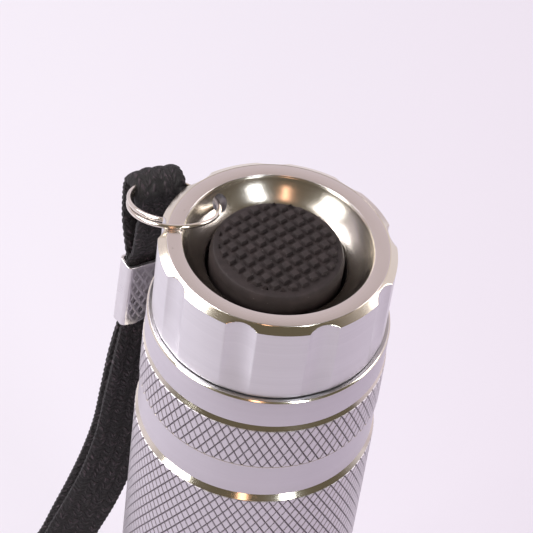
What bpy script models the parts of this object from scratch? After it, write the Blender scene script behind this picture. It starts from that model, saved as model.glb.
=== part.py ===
"""A three-cell aluminium flashlight, standing on its bezel, with a wrist strap on a ring at its tail."""

import math

import bmesh
import bpy
import numpy as np
from mathutils import Matrix, Vector

MM = 0.001

# Fits between pieces
SEAT_GAP = 0.3 * MM
SEAL_GAP = 0.12 * MM
THREAD_GAP = 0.3 * MM
BUTTON_GAP = 0.4 * MM

# Head: bezel, lens and reflector
BEZEL_HEIGHT = 7.0 * MM
BEZEL_LEDGE = 1.0 * MM
BEZEL_LIP = 2.0 * MM
BEZEL_WALL = 0.8 * MM
BEZEL_THREAD_LENGTH = 6.5 * MM
BEZEL_CHAMFER = 0.6 * MM
LENS_THICKNESS = 2.0 * MM
LENS_EDGE = 0.25 * MM
GASKET_THICKNESS = 0.8 * MM
GASKET_WIDTH = 1.0 * MM
REFLECTOR_FLANGE = 1.0 * MM
REFLECTOR_DEPTH = 13.8 * MM
REFLECTOR_LAND = 1.5 * MM
REFLECTOR_HOLE = 3.2 * MM
REFLECTOR_WALL = 0.9 * MM

# Light engine
LED_BASE = 4.0 * MM
LED_BASE_HEIGHT = 1.2 * MM
LED_DOME_RADIUS = 1.7 * MM
LED_BOARD_RADIUS = 8.0 * MM
LED_BOARD_THICKNESS = 1.6 * MM
PILL_SEAT = 1.3 * MM
PILL_FLANGE_GAP = 0.4 * MM
PILL_FLANGE_HEIGHT = 4.0 * MM
PILL_HEIGHT = 13.0 * MM
PILL_FLOOR = 3.0 * MM
PILL_CAVITY_RADIUS = 8.2 * MM
PILL_LEDGE_DEPTH = 2.4 * MM
DRIVER_RADIUS = 9.0 * MM
DRIVER_THICKNESS = 1.2 * MM
DRIVER_SPRING_LENGTH = 7.4 * MM
DRIVER_SPRING_WIRE = 0.6 * MM
DRIVER_SPRING_TURNS = 5

# Head shell
HEAD_WALL = 1.5 * MM
HEAD_CAVITY_STEP = 0.4 * MM
HEAD_SOCKET_DEPTH = 18.0 * MM
HEAD_NECK_WALL = 1.1 * MM
HEAD_BARREL_HEIGHT = 24.0 * MM
FIN_COUNT = 3
FIN_GROOVE = 1.3 * MM
FIN_RIB = 1.5 * MM
FIN_DEPTH = 1.0 * MM
HEAD_TAPER_HEIGHT = 5.0 * MM
HEAD_CHAMFER = 0.6 * MM

# Body tube
MALE_WALL = 1.1 * MM
MALE_STANDOFF = 5.3 * MM
SEAL_LAND_STEP = 0.5 * MM
SEAL_LAND_LENGTH = 3.8 * MM
NECK_STEP = 0.3 * MM
NECK_LENGTH = 5.4 * MM
SOCKET_WALL = 1.35 * MM
KNURL_BAND_STEP = 0.15 * MM
GRIP_STEP = 0.3 * MM
STEP_RELIEF = 0.4 * MM
PLAIN_BAND_2 = 4.95 * MM
KNURL_BAND = 6.1 * MM
PLAIN_BAND_1 = 3.45 * MM
TUBE_EDGE = 0.5 * MM

# Cells and their carrier
CELL_RADIUS = 5.15 * MM
CELL_LENGTH = 44.5 * MM
CELL_SPREAD = 0.18 * MM
CELL_NUB_RADIUS = 1.9 * MM
CELL_NUB_LENGTH = 1.0 * MM
CELL_COUNT = 3
CELL_SPRING_LENGTH = 2.9 * MM
CELL_SPRING_RADIUS = 3.1 * MM
CELL_SPRING_WIRE = 0.5 * MM
CELL_SPRING_TURNS = 2.5
CELL_EDGE = 0.5 * MM
CARRIER_PLATE = 1.8 * MM
CARRIER_POST = 1.5 * MM
TERMINAL_THICKNESS = 0.6 * MM
TERMINAL_RADIUS = 3.4 * MM
TERMINAL_HOLE = 1.1 * MM
REAR_TERMINAL_RADIUS = 7.0 * MM

# Tail cap
CAP_STEP = 1.1 * MM
RIM_CHAMFER_WIDTH = 0.9 * MM
RIM_CHAMFER_DROP = 0.56 * MM
RIM_WIDTH = 1.65 * MM
BOWL_DEPTH = 3.1 * MM
BOWL_SAG = 0.35 * MM
WEB_THICKNESS = 1.0 * MM
SKIRT_LENGTH = 10.2 * MM
SKIRT_GAP = 0.4 * MM
NOSE_STEP = 0.4 * MM
NOSE_LENGTH = 10.2 * MM
NOSE_CHAMFER = 0.4 * MM
NOSE_WALL = 2.3 * MM
FLUTE_COUNT = 9
FLUTE_WIDTH = 3.4 * MM
FLUTE_DEPTH = 0.65 * MM
FLUTE_AZIMUTH = math.radians(258.25)
SEAL_WIRE = 1.0 * MM
SEAL_GROOVE_OFFSET = 1.0 * MM

# Switch
BUTTON_RADIUS = 7.35 * MM
BUTTON_TOP_RADIUS = 7.0 * MM
BUTTON_CROWN_DROP = 0.45 * MM
BUTTON_EDGE_DROP = 1.0 * MM
BUTTON_SHOULDER_DROP = 2.0 * MM
BUTTON_BOTTOM_DROP = 4.9 * MM
BUTTON_WALL = 1.3 * MM
BUTTON_TOP_THICKNESS = 1.6 * MM
BOOT_FLANGE = 1.0 * MM
BOOT_WASHER = 1.4 * MM
PLUNGER_RADIUS = 3.0 * MM
PLUNGER_TIP_RADIUS = 2.1 * MM
PLUNGER_LENGTH = 7.0 * MM
SWITCH_HEIGHT = 8.8 * MM
SWITCH_WELL = 4.8 * MM
SWITCH_BOARD = 1.2 * MM
RETAINER_HEIGHT = 2.2 * MM
RETAINER_BORE = 6.0 * MM
RETAINER_SLOT = 2.0 * MM
TAIL_SPRING_LENGTH = 5.2 * MM
TAIL_SPRING_RADIUS = 4.4 * MM
TAIL_SPRING_WIRE = 0.8 * MM
TAIL_SPRING_TURNS = 3

# Split ring, in a hole drilled slantwise through a flute
HOLE_RADIUS = 0.95 * MM
HOLE_AZIMUTH = math.radians(136.8)
HOLE_SETBACK = 1.94 * MM
HOLE_DROP = 2.0 * MM
HOLE_HEADING = math.radians(130.6)
HOLE_DIP = math.radians(14.6)
RING_RADIUS = 5.1 * MM
RING_WIRE = 0.55 * MM
RING_PITCH = 1.0 * MM
RING_SAG = 0.2 * MM
RING_LIFT = math.radians(10.8)
RING_START = math.radians(138)
RING_STEP_FROM = math.radians(285)
RING_STEP_TO = math.radians(335)
RING_END = math.radians(275)
RING_POINTS = 24

# Wrist strap
STRAP_WIDTH = 6.0 * MM
STRAP_THICKNESS = 0.95 * MM
STRAP_PRESSED = 0.65 * MM
STRAP_PRESS_RUN = 3.0 * MM
STRAP_PLY_GAP = 0.15 * MM
STRAP_SIDES = 8
STRAP_SPACING = 4.4 * MM
LOOP_AZIMUTH = math.radians(121)
LOOP_INNER_RADIUS = 1.4 * MM
LOOP_SETBACK = 0.58 * MM
FOLD_WIDTH = 5.4 * MM
FOLD_SHIFT = 0.3 * MM
LOOP_DROP = 2.15 * MM
LOOP_TILT = math.radians(8.6)
LOOP_INNER_WAIST = 0.8
LOOP_OUTER_WAIST = 0.9
LOOP_STRAIGHT = 0.8 * MM
LOOP_STEPS = 8
CRIMP_AZIMUTH = math.radians(126)
CRIMP_TILT = math.radians(2.3)
CRIMP_TOP_DROP = 14.7 * MM
CRIMP_LENGTH = 9.2 * MM
CRIMP_WALL = 0.35 * MM
CRIMP_GAP = 0.12 * MM
CRIMP_OFFSET = 0.83 * MM
CRIMP_SHIFT = 0.47 * MM
STRAP_TURN = math.radians(4)
STRAP_TURN_DROP = 34.0 * MM

# Where the middle between the strap's two legs runs below the crimp, in millimetres, and their distance apart
STRAP_SPINE_MM = (
    (-15.1, 8.75, 88.0, 1.2),
    (-15.6, 8.7, 81.5, 1.25),
    (-16.15, 8.7, 74.5, 1.4),
    (-17.3, 8.7, 67.5, 1.7),
    (-18.85, 8.75, 61.0, 2.3),
    (-20.75, 8.8, 54.5, 2.5),
    (-22.5, 8.9, 48.5, 2.9),
)

# Where the strap's middle line runs from its front leg, along the surface, and up into its back leg
STRAP_LOOP_MM = (
    (-25.6, 5.6, 41.8),
    (-29.7, 1.0, 33.8),
    (-34.1, -3.9, 25.8),
    (-38.4, -8.2, 18.0),
    (-42.2, -11.2, 10.4),
    (-44.6, -11.4, 4.4),
    (-46.0, -7.8, 1.2),
    (-46.7, -1.0, 0.8),
    (-47.1, 8.0, 0.75),
    (-47.2, 17.5, 0.75),
    (-47.0, 25.5, 1.0),
    (-46.2, 31.4, 3.6),
    (-44.4, 33.6, 9.0),
    (-41.4, 31.2, 16.0),
    (-37.3, 26.4, 23.4),
    (-32.5, 20.8, 30.6),
    (-28.0, 15.7, 37.2),
    (-24.5, 11.7, 43.0),
)

COLLECTION_NAME = "flashlight"
OUTER_STEPS = 72
TUBE_STEPS = 48
INNER_STEPS = 32
SMALL_STEPS = 20
SHARP_ANGLE = math.radians(40)
WIRE_RESOLUTION = 1
END_TURN = 0.75
COIL_GAP = 0.45 * MM
COIL_POINTS = 9
ROUTE_STEPS = 24


# Radii, worked outwards from the cells to the tube, the cap and the head
cell_circle = (CELL_RADIUS + CELL_SPREAD / 2) / math.sin(math.pi / CELL_COUNT)
carrier_radius = cell_circle + CELL_RADIUS
bore_radius = carrier_radius + SEAT_GAP
male_radius = bore_radius + MALE_WALL
seal_land_radius = male_radius + SEAL_LAND_STEP
neck_radius = seal_land_radius + NECK_STEP
nose_radius = bore_radius + NOSE_STEP
female_radius = nose_radius + THREAD_GAP
pocket_radius = nose_radius - NOSE_WALL
pocket_piece_radius = pocket_radius - SEAT_GAP
plain_band_radius = female_radius + SOCKET_WALL
knurl_band_radius = plain_band_radius + KNURL_BAND_STEP
grip_radius = plain_band_radius + GRIP_STEP
cap_radius = nose_radius + CAP_STEP
bowl_radius = cap_radius - RIM_CHAMFER_WIDTH - RIM_WIDTH
button_hole_radius = BUTTON_RADIUS + BUTTON_GAP
head_neck_radius = seal_land_radius + THREAD_GAP + HEAD_NECK_WALL
pill_flange_radius = male_radius + THREAD_GAP + PILL_SEAT
head_cavity_radius = pill_flange_radius + PILL_FLANGE_GAP
bezel_thread_radius = head_cavity_radius + HEAD_CAVITY_STEP
head_radius = bezel_thread_radius + HEAD_WALL
lens_pocket_radius = bezel_thread_radius - BEZEL_WALL
lens_radius = lens_pocket_radius - SEAT_GAP
bezel_opening = lens_radius - BEZEL_LEDGE
reflector_mouth = lens_radius - REFLECTOR_LAND

# Heights above the surface that the bezel stands on, worked up through the stack of pieces
lens_bottom = BEZEL_LIP + SEAT_GAP
lens_top = lens_bottom + LENS_THICKNESS
gasket_bottom = lens_top + SEAT_GAP
reflector_bottom = gasket_bottom + GASKET_THICKNESS + SEAT_GAP
reflector_top = reflector_bottom + REFLECTOR_DEPTH
led_board_bottom = reflector_top + SEAT_GAP
led_board_top = led_board_bottom + LED_BOARD_THICKNESS
pill_bottom = led_board_top + SEAT_GAP
pill_top = pill_bottom + PILL_HEIGHT
head_shoulder = pill_bottom + PILL_FLANGE_HEIGHT + SEAT_GAP
driver_bottom = pill_top - PILL_LEDGE_DEPTH + SEAT_GAP
driver_top = driver_bottom + DRIVER_THICKNESS
driver_spring_bottom = driver_top + SEAT_GAP
front_terminal_bottom = driver_spring_bottom + DRIVER_SPRING_LENGTH + SEAT_GAP
carrier_bottom = front_terminal_bottom + TERMINAL_THICKNESS + SEAT_GAP
cell_bay_bottom = carrier_bottom + CARRIER_PLATE
cell_bay_top = cell_bay_bottom + CELL_LENGTH + CELL_SPRING_LENGTH + 2 * SEAT_GAP
carrier_top = cell_bay_top + CARRIER_PLATE
rear_terminal_bottom = carrier_top + SEAT_GAP
tail_spring_bottom = rear_terminal_bottom + TERMINAL_THICKNESS + SEAT_GAP
tail_spring_top = tail_spring_bottom + TAIL_SPRING_LENGTH

# Depths below the tail rim, worked down through the switch
boot_top_drop = BOWL_DEPTH + WEB_THICKNESS + SEAT_GAP
washer_top_drop = boot_top_drop + BOOT_FLANGE + SEAT_GAP
switch_top_drop = washer_top_drop + BOOT_WASHER + SEAT_GAP
switch_board_drop = switch_top_drop + SWITCH_HEIGHT + SEAT_GAP
retainer_drop = switch_board_drop + SWITCH_BOARD + SEAT_GAP
tail_spring_drop = switch_board_drop + SWITCH_BOARD + SEAT_GAP

head_height = head_shoulder + HEAD_SOCKET_DEPTH
rim_height = tail_spring_top + tail_spring_drop
tube_top = rim_height - SKIRT_LENGTH - SKIRT_GAP
tube_shoulder = head_height + SEAT_GAP
tube_bottom = head_shoulder + MALE_STANDOFF
female_bottom = rim_height - SKIRT_LENGTH - NOSE_LENGTH - 2 * SEAT_GAP

MATERIALS = {
    "satin_aluminium": ((0.62, 0.60, 0.64), 1.0, 0.38),
    "polished_aluminium": ((0.78, 0.77, 0.76), 1.0, 0.12),
    "reflector_silver": ((0.90, 0.90, 0.90), 1.0, 0.05),
    "lens_glass": ((0.90, 0.95, 0.95), 0.0, 0.03),
    "black_rubber": ((0.035, 0.033, 0.036), 0.0, 0.75),
    "black_plastic": ((0.03, 0.03, 0.03), 0.0, 0.45),
    "board_green": ((0.04, 0.20, 0.09), 0.0, 0.50),
    "board_white": ((0.80, 0.80, 0.78), 0.0, 0.45),
    "led_phosphor": ((0.90, 0.78, 0.25), 0.0, 0.25),
    "brass": ((0.80, 0.60, 0.28), 1.0, 0.30),
    "spring_steel": ((0.66, 0.64, 0.60), 1.0, 0.22),
    "cell_wrap": ((0.12, 0.24, 0.32), 0.1, 0.35),
    "crimp_metal": ((0.68, 0.66, 0.68), 1.0, 0.35),
    "black_nylon": ((0.02, 0.019, 0.021), 0.0, 0.85),
}


def clear_scene():
    """Empty the file of the objects that it opened with."""
    for obj in list(bpy.data.objects):
        bpy.data.objects.remove(obj, do_unlink=True)


def new_collection(name):
    collection = bpy.data.collections.new(name)
    bpy.context.scene.collection.children.link(collection)
    return collection


def finish(name):
    """The Principled material of this name, made once."""
    found = bpy.data.materials.get(name)
    if found:
        return found
    colour, metallic, roughness = MATERIALS[name]
    material = bpy.data.materials.new(name)
    material.use_nodes = True
    shader = material.node_tree.nodes["Principled BSDF"]
    shader.inputs["Base Color"].default_value = (*colour, 1.0)
    shader.inputs["Metallic"].default_value = metallic
    shader.inputs["Roughness"].default_value = roughness
    material.diffuse_color = (*colour, 1.0)
    return material


def add_object(name, data, material=None):
    """A new object in the part's collection, with a material of its own name made from the finish."""
    obj = bpy.data.objects.new(name, data)
    parts.objects.link(obj)
    if material:
        own = finish(material).copy()
        own.name = f"{name}_{material}"
        obj.data.materials.append(own)
    return obj


def make_cutter(obj):
    """Hide a shape that only cuts another."""
    parts.objects.unlink(obj)
    cutters.objects.link(obj)
    obj.hide_render = True
    obj.display_type = "WIRE"


def turned(name, material, profile, steps, closed=True):
    """A turned piece: profile holds (radius, height) pairs, down the outer side and up the inner."""
    mesh = bpy.data.meshes.new(name)
    points = [(radius, 0.0, height) for radius, height in profile]
    edges = [(i, i + 1) for i in range(len(points) - 1)]
    if closed:
        edges.append((len(points) - 1, 0))
    mesh.from_pydata(points, edges, [])
    obj = add_object(name, mesh, material)
    screw = obj.modifiers.new("turn", "SCREW")
    screw.axis = "Z"
    screw.angle = math.tau
    screw.steps = steps
    screw.render_steps = steps
    screw.use_merge_vertices = True
    screw.merge_threshold = 1e-6
    screw.use_smooth_shade = True
    return obj


def cut(obj, cutter, name):
    """Take the cutter's shape out of an object."""
    modifier = obj.modifiers.new(name, "BOOLEAN")
    modifier.operation = "DIFFERENCE"
    modifier.solver = "EXACT"
    modifier.object = cutter


def join(obj, shape, name):
    """Add a shape to an object, as one solid."""
    modifier = obj.modifiers.new(name, "BOOLEAN")
    modifier.operation = "UNION"
    modifier.solver = "EXACT"
    modifier.object = shape


def mesh_object(name, build, material=None, origin=(0.0, 0.0, 0.0)):
    """An object whose mesh the build function fills as a bmesh, with its origin where it turns."""
    mesh = bpy.data.meshes.new(name)
    bm = bmesh.new()
    build(bm)
    bmesh.ops.recalc_face_normals(bm, faces=bm.faces)
    bmesh.ops.translate(bm, verts=bm.verts, vec=-Vector(origin))
    bm.to_mesh(mesh)
    bm.free()
    mesh.shade_smooth()
    mesh.set_sharp_from_angle(angle=SHARP_ANGLE)
    obj = add_object(name, mesh, material)
    obj.location = origin
    return obj


def round_bar(bm, start, end, radius, segments):
    """A capped round bar from start to end, added to a bmesh."""
    start, end = Vector(start), Vector(end)
    axis = end - start
    turn = axis.to_track_quat("Z", "Y").to_matrix().to_4x4()
    bmesh.ops.create_cone(
        bm,
        cap_ends=True,
        segments=segments,
        radius1=radius,
        radius2=radius,
        depth=axis.length,
        matrix=Matrix.Translation((start + end) / 2) @ turn,
    )


def box(bm, low, high):
    """A box between two corners, added to a bmesh."""
    low, high = Vector(low), Vector(high)
    size = high - low
    bmesh.ops.create_cube(
        bm,
        size=1.0,
        matrix=Matrix.Translation((low + high) / 2) @ Matrix.Diagonal((*size, 1.0)),
    )


def wire(name, material, points, diameter, origin=(0.0, 0.0, 0.0)):
    """A wire or tube along the points, with filled ends and its origin where it turns."""
    curve = bpy.data.curves.new(name, "CURVE")
    curve.dimensions = "3D"
    curve.bevel_depth = diameter / 2
    curve.bevel_resolution = WIRE_RESOLUTION
    curve.use_fill_caps = True
    spline = curve.splines.new("POLY")
    spline.points.add(len(points) - 1)
    for place, point in zip(spline.points, points):
        place.co = (*(Vector(point) - Vector(origin)), 1.0)
    obj = add_object(name, curve, material)
    obj.location = origin
    return obj


def coil_points(bottom, length, radius_low, radius_high, turns, wire_diameter, centre=(0.0, 0.0)):
    """Points up a compression spring with closer end turns, between two levels that hold the whole wire."""
    low = bottom + wire_diameter / 2
    rise = length - wire_diameter
    pitch = wire_diameter + COIL_GAP
    points = []
    count = int(turns * COIL_POINTS) + 1
    for i in range(count):
        turn = turns * i / (count - 1)
        share = min(max((turn - END_TURN) / (turns - 2 * END_TURN), 0.0), 1.0)
        closed = min(turn, END_TURN) + max(turn - turns + END_TURN, 0.0)
        height = low + (rise - 2 * END_TURN * pitch) * share + closed * pitch
        radius = radius_low + (radius_high - radius_low) * turn / turns
        angle = math.tau * turn
        points.append((centre[0] + radius * math.cos(angle), centre[1] + radius * math.sin(angle), height))
    return points


def least_distance(some, others):
    """The least distance between two sets of points."""
    return float(np.linalg.norm(some[:, None, :] - others[None, :, :], axis=2).min())


def report_gap(name, points, diameter):
    """Print a wound wire's least gap to itself, between stretches more than half a turn apart."""
    places = np.array(points)
    spans = places[1:] - places[:-1]
    steps = np.linspace(0.0, 1.0, 5)[None, :, None]
    samples = places[:-1, None, :] + steps * spans[:, None, :]
    half_turn = COIL_POINTS // 2 + 1
    nearest = min(
        least_distance(samples[i], samples[i + half_turn:].reshape(-1, 3))
        for i in range(len(samples) - half_turn)
    )
    print(f"{name}: least gap to itself {(nearest - diameter) / MM:.2f} mm")


def dish(top_radius, top_height, low_radius, low_height, sag, count):
    """Points from the low edge up to the top edge of a dish, bowed outwards by the sag."""
    points = []
    run, rise = top_radius - low_radius, top_height - low_height
    length = math.hypot(run, rise)
    for i in range(1, count):
        share = i / count
        bow = 4 * sag * share * (1 - share)
        out = run * share + bow * rise / length
        up = rise * share - bow * run / length
        points.append((low_radius + out, low_height + up))
    return points


def ring_section(centre_radius, centre_height, wire_radius, count):
    """A round section for a turned ring, listed down its outer side."""
    return [
        (
            centre_radius + wire_radius * math.cos(math.tau * i / count),
            centre_height - wire_radius * math.sin(math.tau * i / count),
        )
        for i in range(count)
    ]


def make_bezel():
    """The bezel: a ring whose lip holds the lens, with a thread that goes into the head shell."""
    top = BEZEL_HEIGHT
    thread_top = BEZEL_HEIGHT + BEZEL_THREAD_LENGTH
    pocket = lens_pocket_radius
    turned(
        "bezel_ring",
        "satin_aluminium",
        [
            (bezel_thread_radius, thread_top),
            (bezel_thread_radius, top),
            (head_radius - BEZEL_CHAMFER / 2, top),
            (head_radius, top - BEZEL_CHAMFER / 2),
            (head_radius, BEZEL_CHAMFER),
            (head_radius - BEZEL_CHAMFER, 0.0),
            (bezel_opening + BEZEL_CHAMFER, 0.0),
            (bezel_opening, BEZEL_LIP - BEZEL_CHAMFER / 2),
            (bezel_opening, BEZEL_LIP),
            (pocket, BEZEL_LIP),
            (pocket, thread_top),
        ],
        TUBE_STEPS,
    )


def make_lens():
    """The glass lens on the bezel's lip, and the gasket between it and the reflector."""
    turned(
        "lens",
        "lens_glass",
        [
            (0.0, lens_top),
            (lens_radius - LENS_EDGE, lens_top),
            (lens_radius, lens_top - LENS_EDGE),
            (lens_radius, lens_bottom + LENS_EDGE),
            (lens_radius - LENS_EDGE, lens_bottom),
            (0.0, lens_bottom),
        ],
        TUBE_STEPS,
        closed=False,
    )
    top = gasket_bottom + GASKET_THICKNESS
    turned(
        "lens_gasket",
        "black_rubber",
        [
            (lens_radius, top),
            (lens_radius, gasket_bottom),
            (lens_radius - GASKET_WIDTH, gasket_bottom),
            (lens_radius - GASKET_WIDTH, top),
        ],
        INNER_STEPS,
    )


def reflector_curve(count):
    """(radius, height) pairs up the parabola from the mouth to the hole that the light source sits in."""
    depth = REFLECTOR_DEPTH
    scale = (reflector_mouth**2 - REFLECTOR_HOLE**2) / depth
    pairs = []
    for i in range(count + 1):
        height = depth * i / count
        pairs.append((math.sqrt(reflector_mouth**2 - scale * height), reflector_bottom + height))
    return pairs


def make_reflector():
    """The reflector: a thin parabolic cup with a flange that the lens and its gasket hold."""
    inner = reflector_curve(7)
    flange_top = reflector_bottom + REFLECTOR_FLANGE
    outer = [(radius + REFLECTOR_WALL, height) for radius, height in inner if height > flange_top]
    profile = outer[::-1] + [
        (reflector_mouth + REFLECTOR_WALL, flange_top),
        (lens_radius, flange_top),
        (lens_radius, reflector_bottom),
    ]
    turned("reflector", "reflector_silver", profile + inner, INNER_STEPS)


def make_light_engine():
    """The light source on its board, the brass pill that carries them, and the driver with its spring."""
    base_bottom = led_board_bottom - SEAT_GAP - LED_BASE_HEIGHT

    def build_led(bm):
        half = LED_BASE / 2
        box(bm, (-half, -half, base_bottom), (half, half, led_board_bottom - SEAT_GAP))

    base = mesh_object("led_emitter", build_led, "led_phosphor")

    dome_top = base_bottom + LED_BASE_HEIGHT / 2
    dome_profile = [(0.0, dome_top), (LED_DOME_RADIUS, dome_top)]
    for i in range(5):
        angle = math.radians(90) * i / 5
        dome_height = base_bottom - LED_DOME_RADIUS * math.sin(angle)
        dome_profile.append((LED_DOME_RADIUS * math.cos(angle), dome_height))
    dome_profile.append((0.0, base_bottom - LED_DOME_RADIUS))
    dome = turned("led_dome_shape", None, dome_profile, SMALL_STEPS, closed=False)
    make_cutter(dome)
    join(base, dome, "dome")

    turned(
        "led_board",
        "board_white",
        [(0.0, led_board_top), (LED_BOARD_RADIUS, led_board_top), (LED_BOARD_RADIUS, led_board_bottom),
         (0.0, led_board_bottom)],
        SMALL_STEPS,
        closed=False,
    )
    barrel = bore_radius - SEAT_GAP
    pocket = DRIVER_RADIUS + SEAT_GAP
    flange_top = pill_bottom + PILL_FLANGE_HEIGHT
    turned(
        "led_pill",
        "brass",
        [
            (0.0, pill_bottom + PILL_FLOOR),
            (PILL_CAVITY_RADIUS, pill_bottom + PILL_FLOOR),
            (PILL_CAVITY_RADIUS, pill_top - PILL_LEDGE_DEPTH),
            (pocket, pill_top - PILL_LEDGE_DEPTH),
            (pocket, pill_top),
            (barrel, pill_top),
            (barrel, flange_top),
            (pill_flange_radius, flange_top),
            (pill_flange_radius, pill_bottom),
            (0.0, pill_bottom),
        ],
        INNER_STEPS,
        closed=False,
    )
    turned(
        "driver_board",
        "board_green",
        [
            (0.0, driver_top),
            (DRIVER_RADIUS, driver_top),
            (DRIVER_RADIUS, driver_bottom),
            (0.0, driver_bottom),
        ],
        SMALL_STEPS,
        closed=False,
    )
    points = coil_points(driver_spring_bottom, DRIVER_SPRING_LENGTH, TERMINAL_RADIUS, TERMINAL_RADIUS / 2,
                         DRIVER_SPRING_TURNS, DRIVER_SPRING_WIRE)
    wire("driver_spring", "spring_steel", points, DRIVER_SPRING_WIRE)
    report_gap("driver_spring", points, DRIVER_SPRING_WIRE)


def make_head_shell():
    """The head: a thread for the bezel below, a seat for the pill, and a neck that takes the body tube."""
    bottom = BEZEL_HEIGHT + SEAT_GAP
    thread = bezel_thread_radius + THREAD_GAP
    thread_top = BEZEL_HEIGHT + BEZEL_THREAD_LENGTH + SEAT_GAP
    neck_bore = male_radius + THREAD_GAP
    land_bore = seal_land_radius + THREAD_GAP
    land_bottom = tube_shoulder - SEAL_LAND_LENGTH - SEAT_GAP
    fins_top = HEAD_BARREL_HEIGHT + FIN_COUNT * (FIN_GROOVE + FIN_RIB)
    taper_top = fins_top + HEAD_TAPER_HEIGHT
    profile = [
        (head_neck_radius - HEAD_CHAMFER, head_height),
        (head_neck_radius, head_height - HEAD_CHAMFER),
        (head_neck_radius, taper_top),
    ]
    fin_radius = head_radius - HEAD_CHAMFER / 2
    for i in range(FIN_COUNT):
        rib_top = fins_top - i * (FIN_GROOVE + FIN_RIB)
        rib_bottom = rib_top - FIN_RIB
        profile += [
            (fin_radius, rib_top),
            (fin_radius, rib_bottom),
            (fin_radius - FIN_DEPTH, rib_bottom),
            (fin_radius - FIN_DEPTH, rib_bottom - FIN_GROOVE),
        ]
    profile += [
        (head_radius - HEAD_CHAMFER, HEAD_BARREL_HEIGHT),
        (head_radius, HEAD_BARREL_HEIGHT - HEAD_CHAMFER),
        (head_radius, bottom + BEZEL_CHAMFER / 2),
        (head_radius - BEZEL_CHAMFER / 2, bottom),
        (thread, bottom),
        (thread, thread_top),
        (head_cavity_radius, thread_top),
        (head_cavity_radius, head_shoulder),
        (neck_bore, head_shoulder),
        (neck_bore, land_bottom),
        (land_bore, land_bottom),
        (land_bore, head_height),
    ]
    turned("head_shell", "satin_aluminium", profile, TUBE_STEPS)


def seal_groove_floor(bore):
    """The radius of a groove's floor that leaves a seal of SEAL_WIRE its gap on both sides, inside a bore."""
    return bore - SEAL_WIRE - 2 * SEAL_GAP


def make_seal(name, bore, groove_top):
    """A seal ring in a groove whose top edge is at groove_top."""
    height = groove_top - SEAL_GAP - SEAL_WIRE / 2
    radius = bore - SEAL_GAP - SEAL_WIRE / 2
    turned(name, "black_rubber", ring_section(radius, height, SEAL_WIRE / 2, 6), INNER_STEPS)


def step_up(radius_above, radius_below, height):
    """A relief and a polished chamfer where the diameter steps, with the band above ending at height."""
    neck = radius_above - STEP_RELIEF
    neck_height = height - STEP_RELIEF / 2
    return [(radius_above, height), (neck, neck_height), (radius_below, neck_height - (radius_below - neck))]


def make_body_tube():
    """The tube: a socket for the tail cap's nose, bands and knurls, the bore and a male end for the head."""
    land_bore = seal_land_radius + THREAD_GAP
    groove_top = tube_shoulder - SEAL_GROOVE_OFFSET
    groove_floor = seal_groove_floor(land_bore)
    groove_bottom = groove_top - SEAL_WIRE - 2 * SEAL_GAP
    land_bottom = tube_shoulder - SEAL_LAND_LENGTH
    band_1_end = tube_top - TUBE_EDGE - PLAIN_BAND_1
    knurl = step_up(plain_band_radius, knurl_band_radius, band_1_end)
    knurl_end = knurl[-1][1] - KNURL_BAND
    band_2_end = knurl_end - PLAIN_BAND_2
    grip = step_up(plain_band_radius, grip_radius, band_2_end)
    grip_end = tube_shoulder + NECK_LENGTH
    profile = [
        (female_radius + TUBE_EDGE / 2, tube_top),
        (plain_band_radius - TUBE_EDGE, tube_top),
        (plain_band_radius, tube_top - TUBE_EDGE),
    ]
    profile += knurl
    profile += [(knurl_band_radius, knurl_end), (plain_band_radius, knurl_end - TUBE_EDGE / 2)]
    profile += grip
    profile += [
        (grip_radius, grip_end),
        (neck_radius, grip_end - TUBE_EDGE),
        (neck_radius, tube_shoulder),
        (seal_land_radius, tube_shoulder),
        (seal_land_radius, groove_top),
        (groove_floor, groove_top),
        (groove_floor, groove_bottom),
        (seal_land_radius, groove_bottom),
        (seal_land_radius, land_bottom),
        (male_radius, land_bottom),
        (male_radius, tube_bottom + TUBE_EDGE),
        (male_radius - TUBE_EDGE / 2, tube_bottom),
        (bore_radius, tube_bottom),
        (bore_radius, female_bottom),
        (female_radius, female_bottom),
        (female_radius, tube_top - TUBE_EDGE / 2),
    ]
    turned("body_tube", "satin_aluminium", profile, TUBE_STEPS)
    make_seal("head_seal", land_bore, groove_top)


def cell_places():
    """The cells' places round the axis."""
    for i in range(CELL_COUNT):
        angle = math.tau * i / CELL_COUNT + math.pi / 2
        yield i, cell_circle * math.cos(angle), cell_circle * math.sin(angle)


def make_carrier():
    """The plastic carrier: two end plates on posts that stand in the outer hollows between the cells."""
    post_circle = carrier_radius - CARRIER_POST - SEAT_GAP
    post_low = cell_bay_bottom - CARRIER_PLATE / 2
    post_high = cell_bay_top + CARRIER_PLATE / 2

    def build_front(bm):
        round_bar(bm, (0, 0, carrier_bottom), (0, 0, cell_bay_bottom), carrier_radius, INNER_STEPS)

    def build_rear(bm):
        round_bar(bm, (0, 0, cell_bay_top), (0, 0, carrier_top), carrier_radius, INNER_STEPS)

    def build_posts(bm):
        for i in range(CELL_COUNT):
            angle = math.tau * (i + 0.5) / CELL_COUNT + math.pi / 2
            x, y = post_circle * math.cos(angle), post_circle * math.sin(angle)
            round_bar(bm, (x, y, post_low), (x, y, post_high), CARRIER_POST, 10)

    carrier = mesh_object("cell_carrier", build_front, "black_plastic")
    for name, build in (("carrier_post_shapes", build_posts), ("carrier_rear_shape", build_rear)):
        shape = mesh_object(name, build)
        make_cutter(shape)
        join(carrier, shape, name)


def make_terminal(name, bottom, outer, inner):
    """A flat brass contact ring."""
    top = bottom + TERMINAL_THICKNESS
    turned(name, "brass", [(outer, top), (outer, bottom), (inner, bottom), (inner, top)], SMALL_STEPS)


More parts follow.
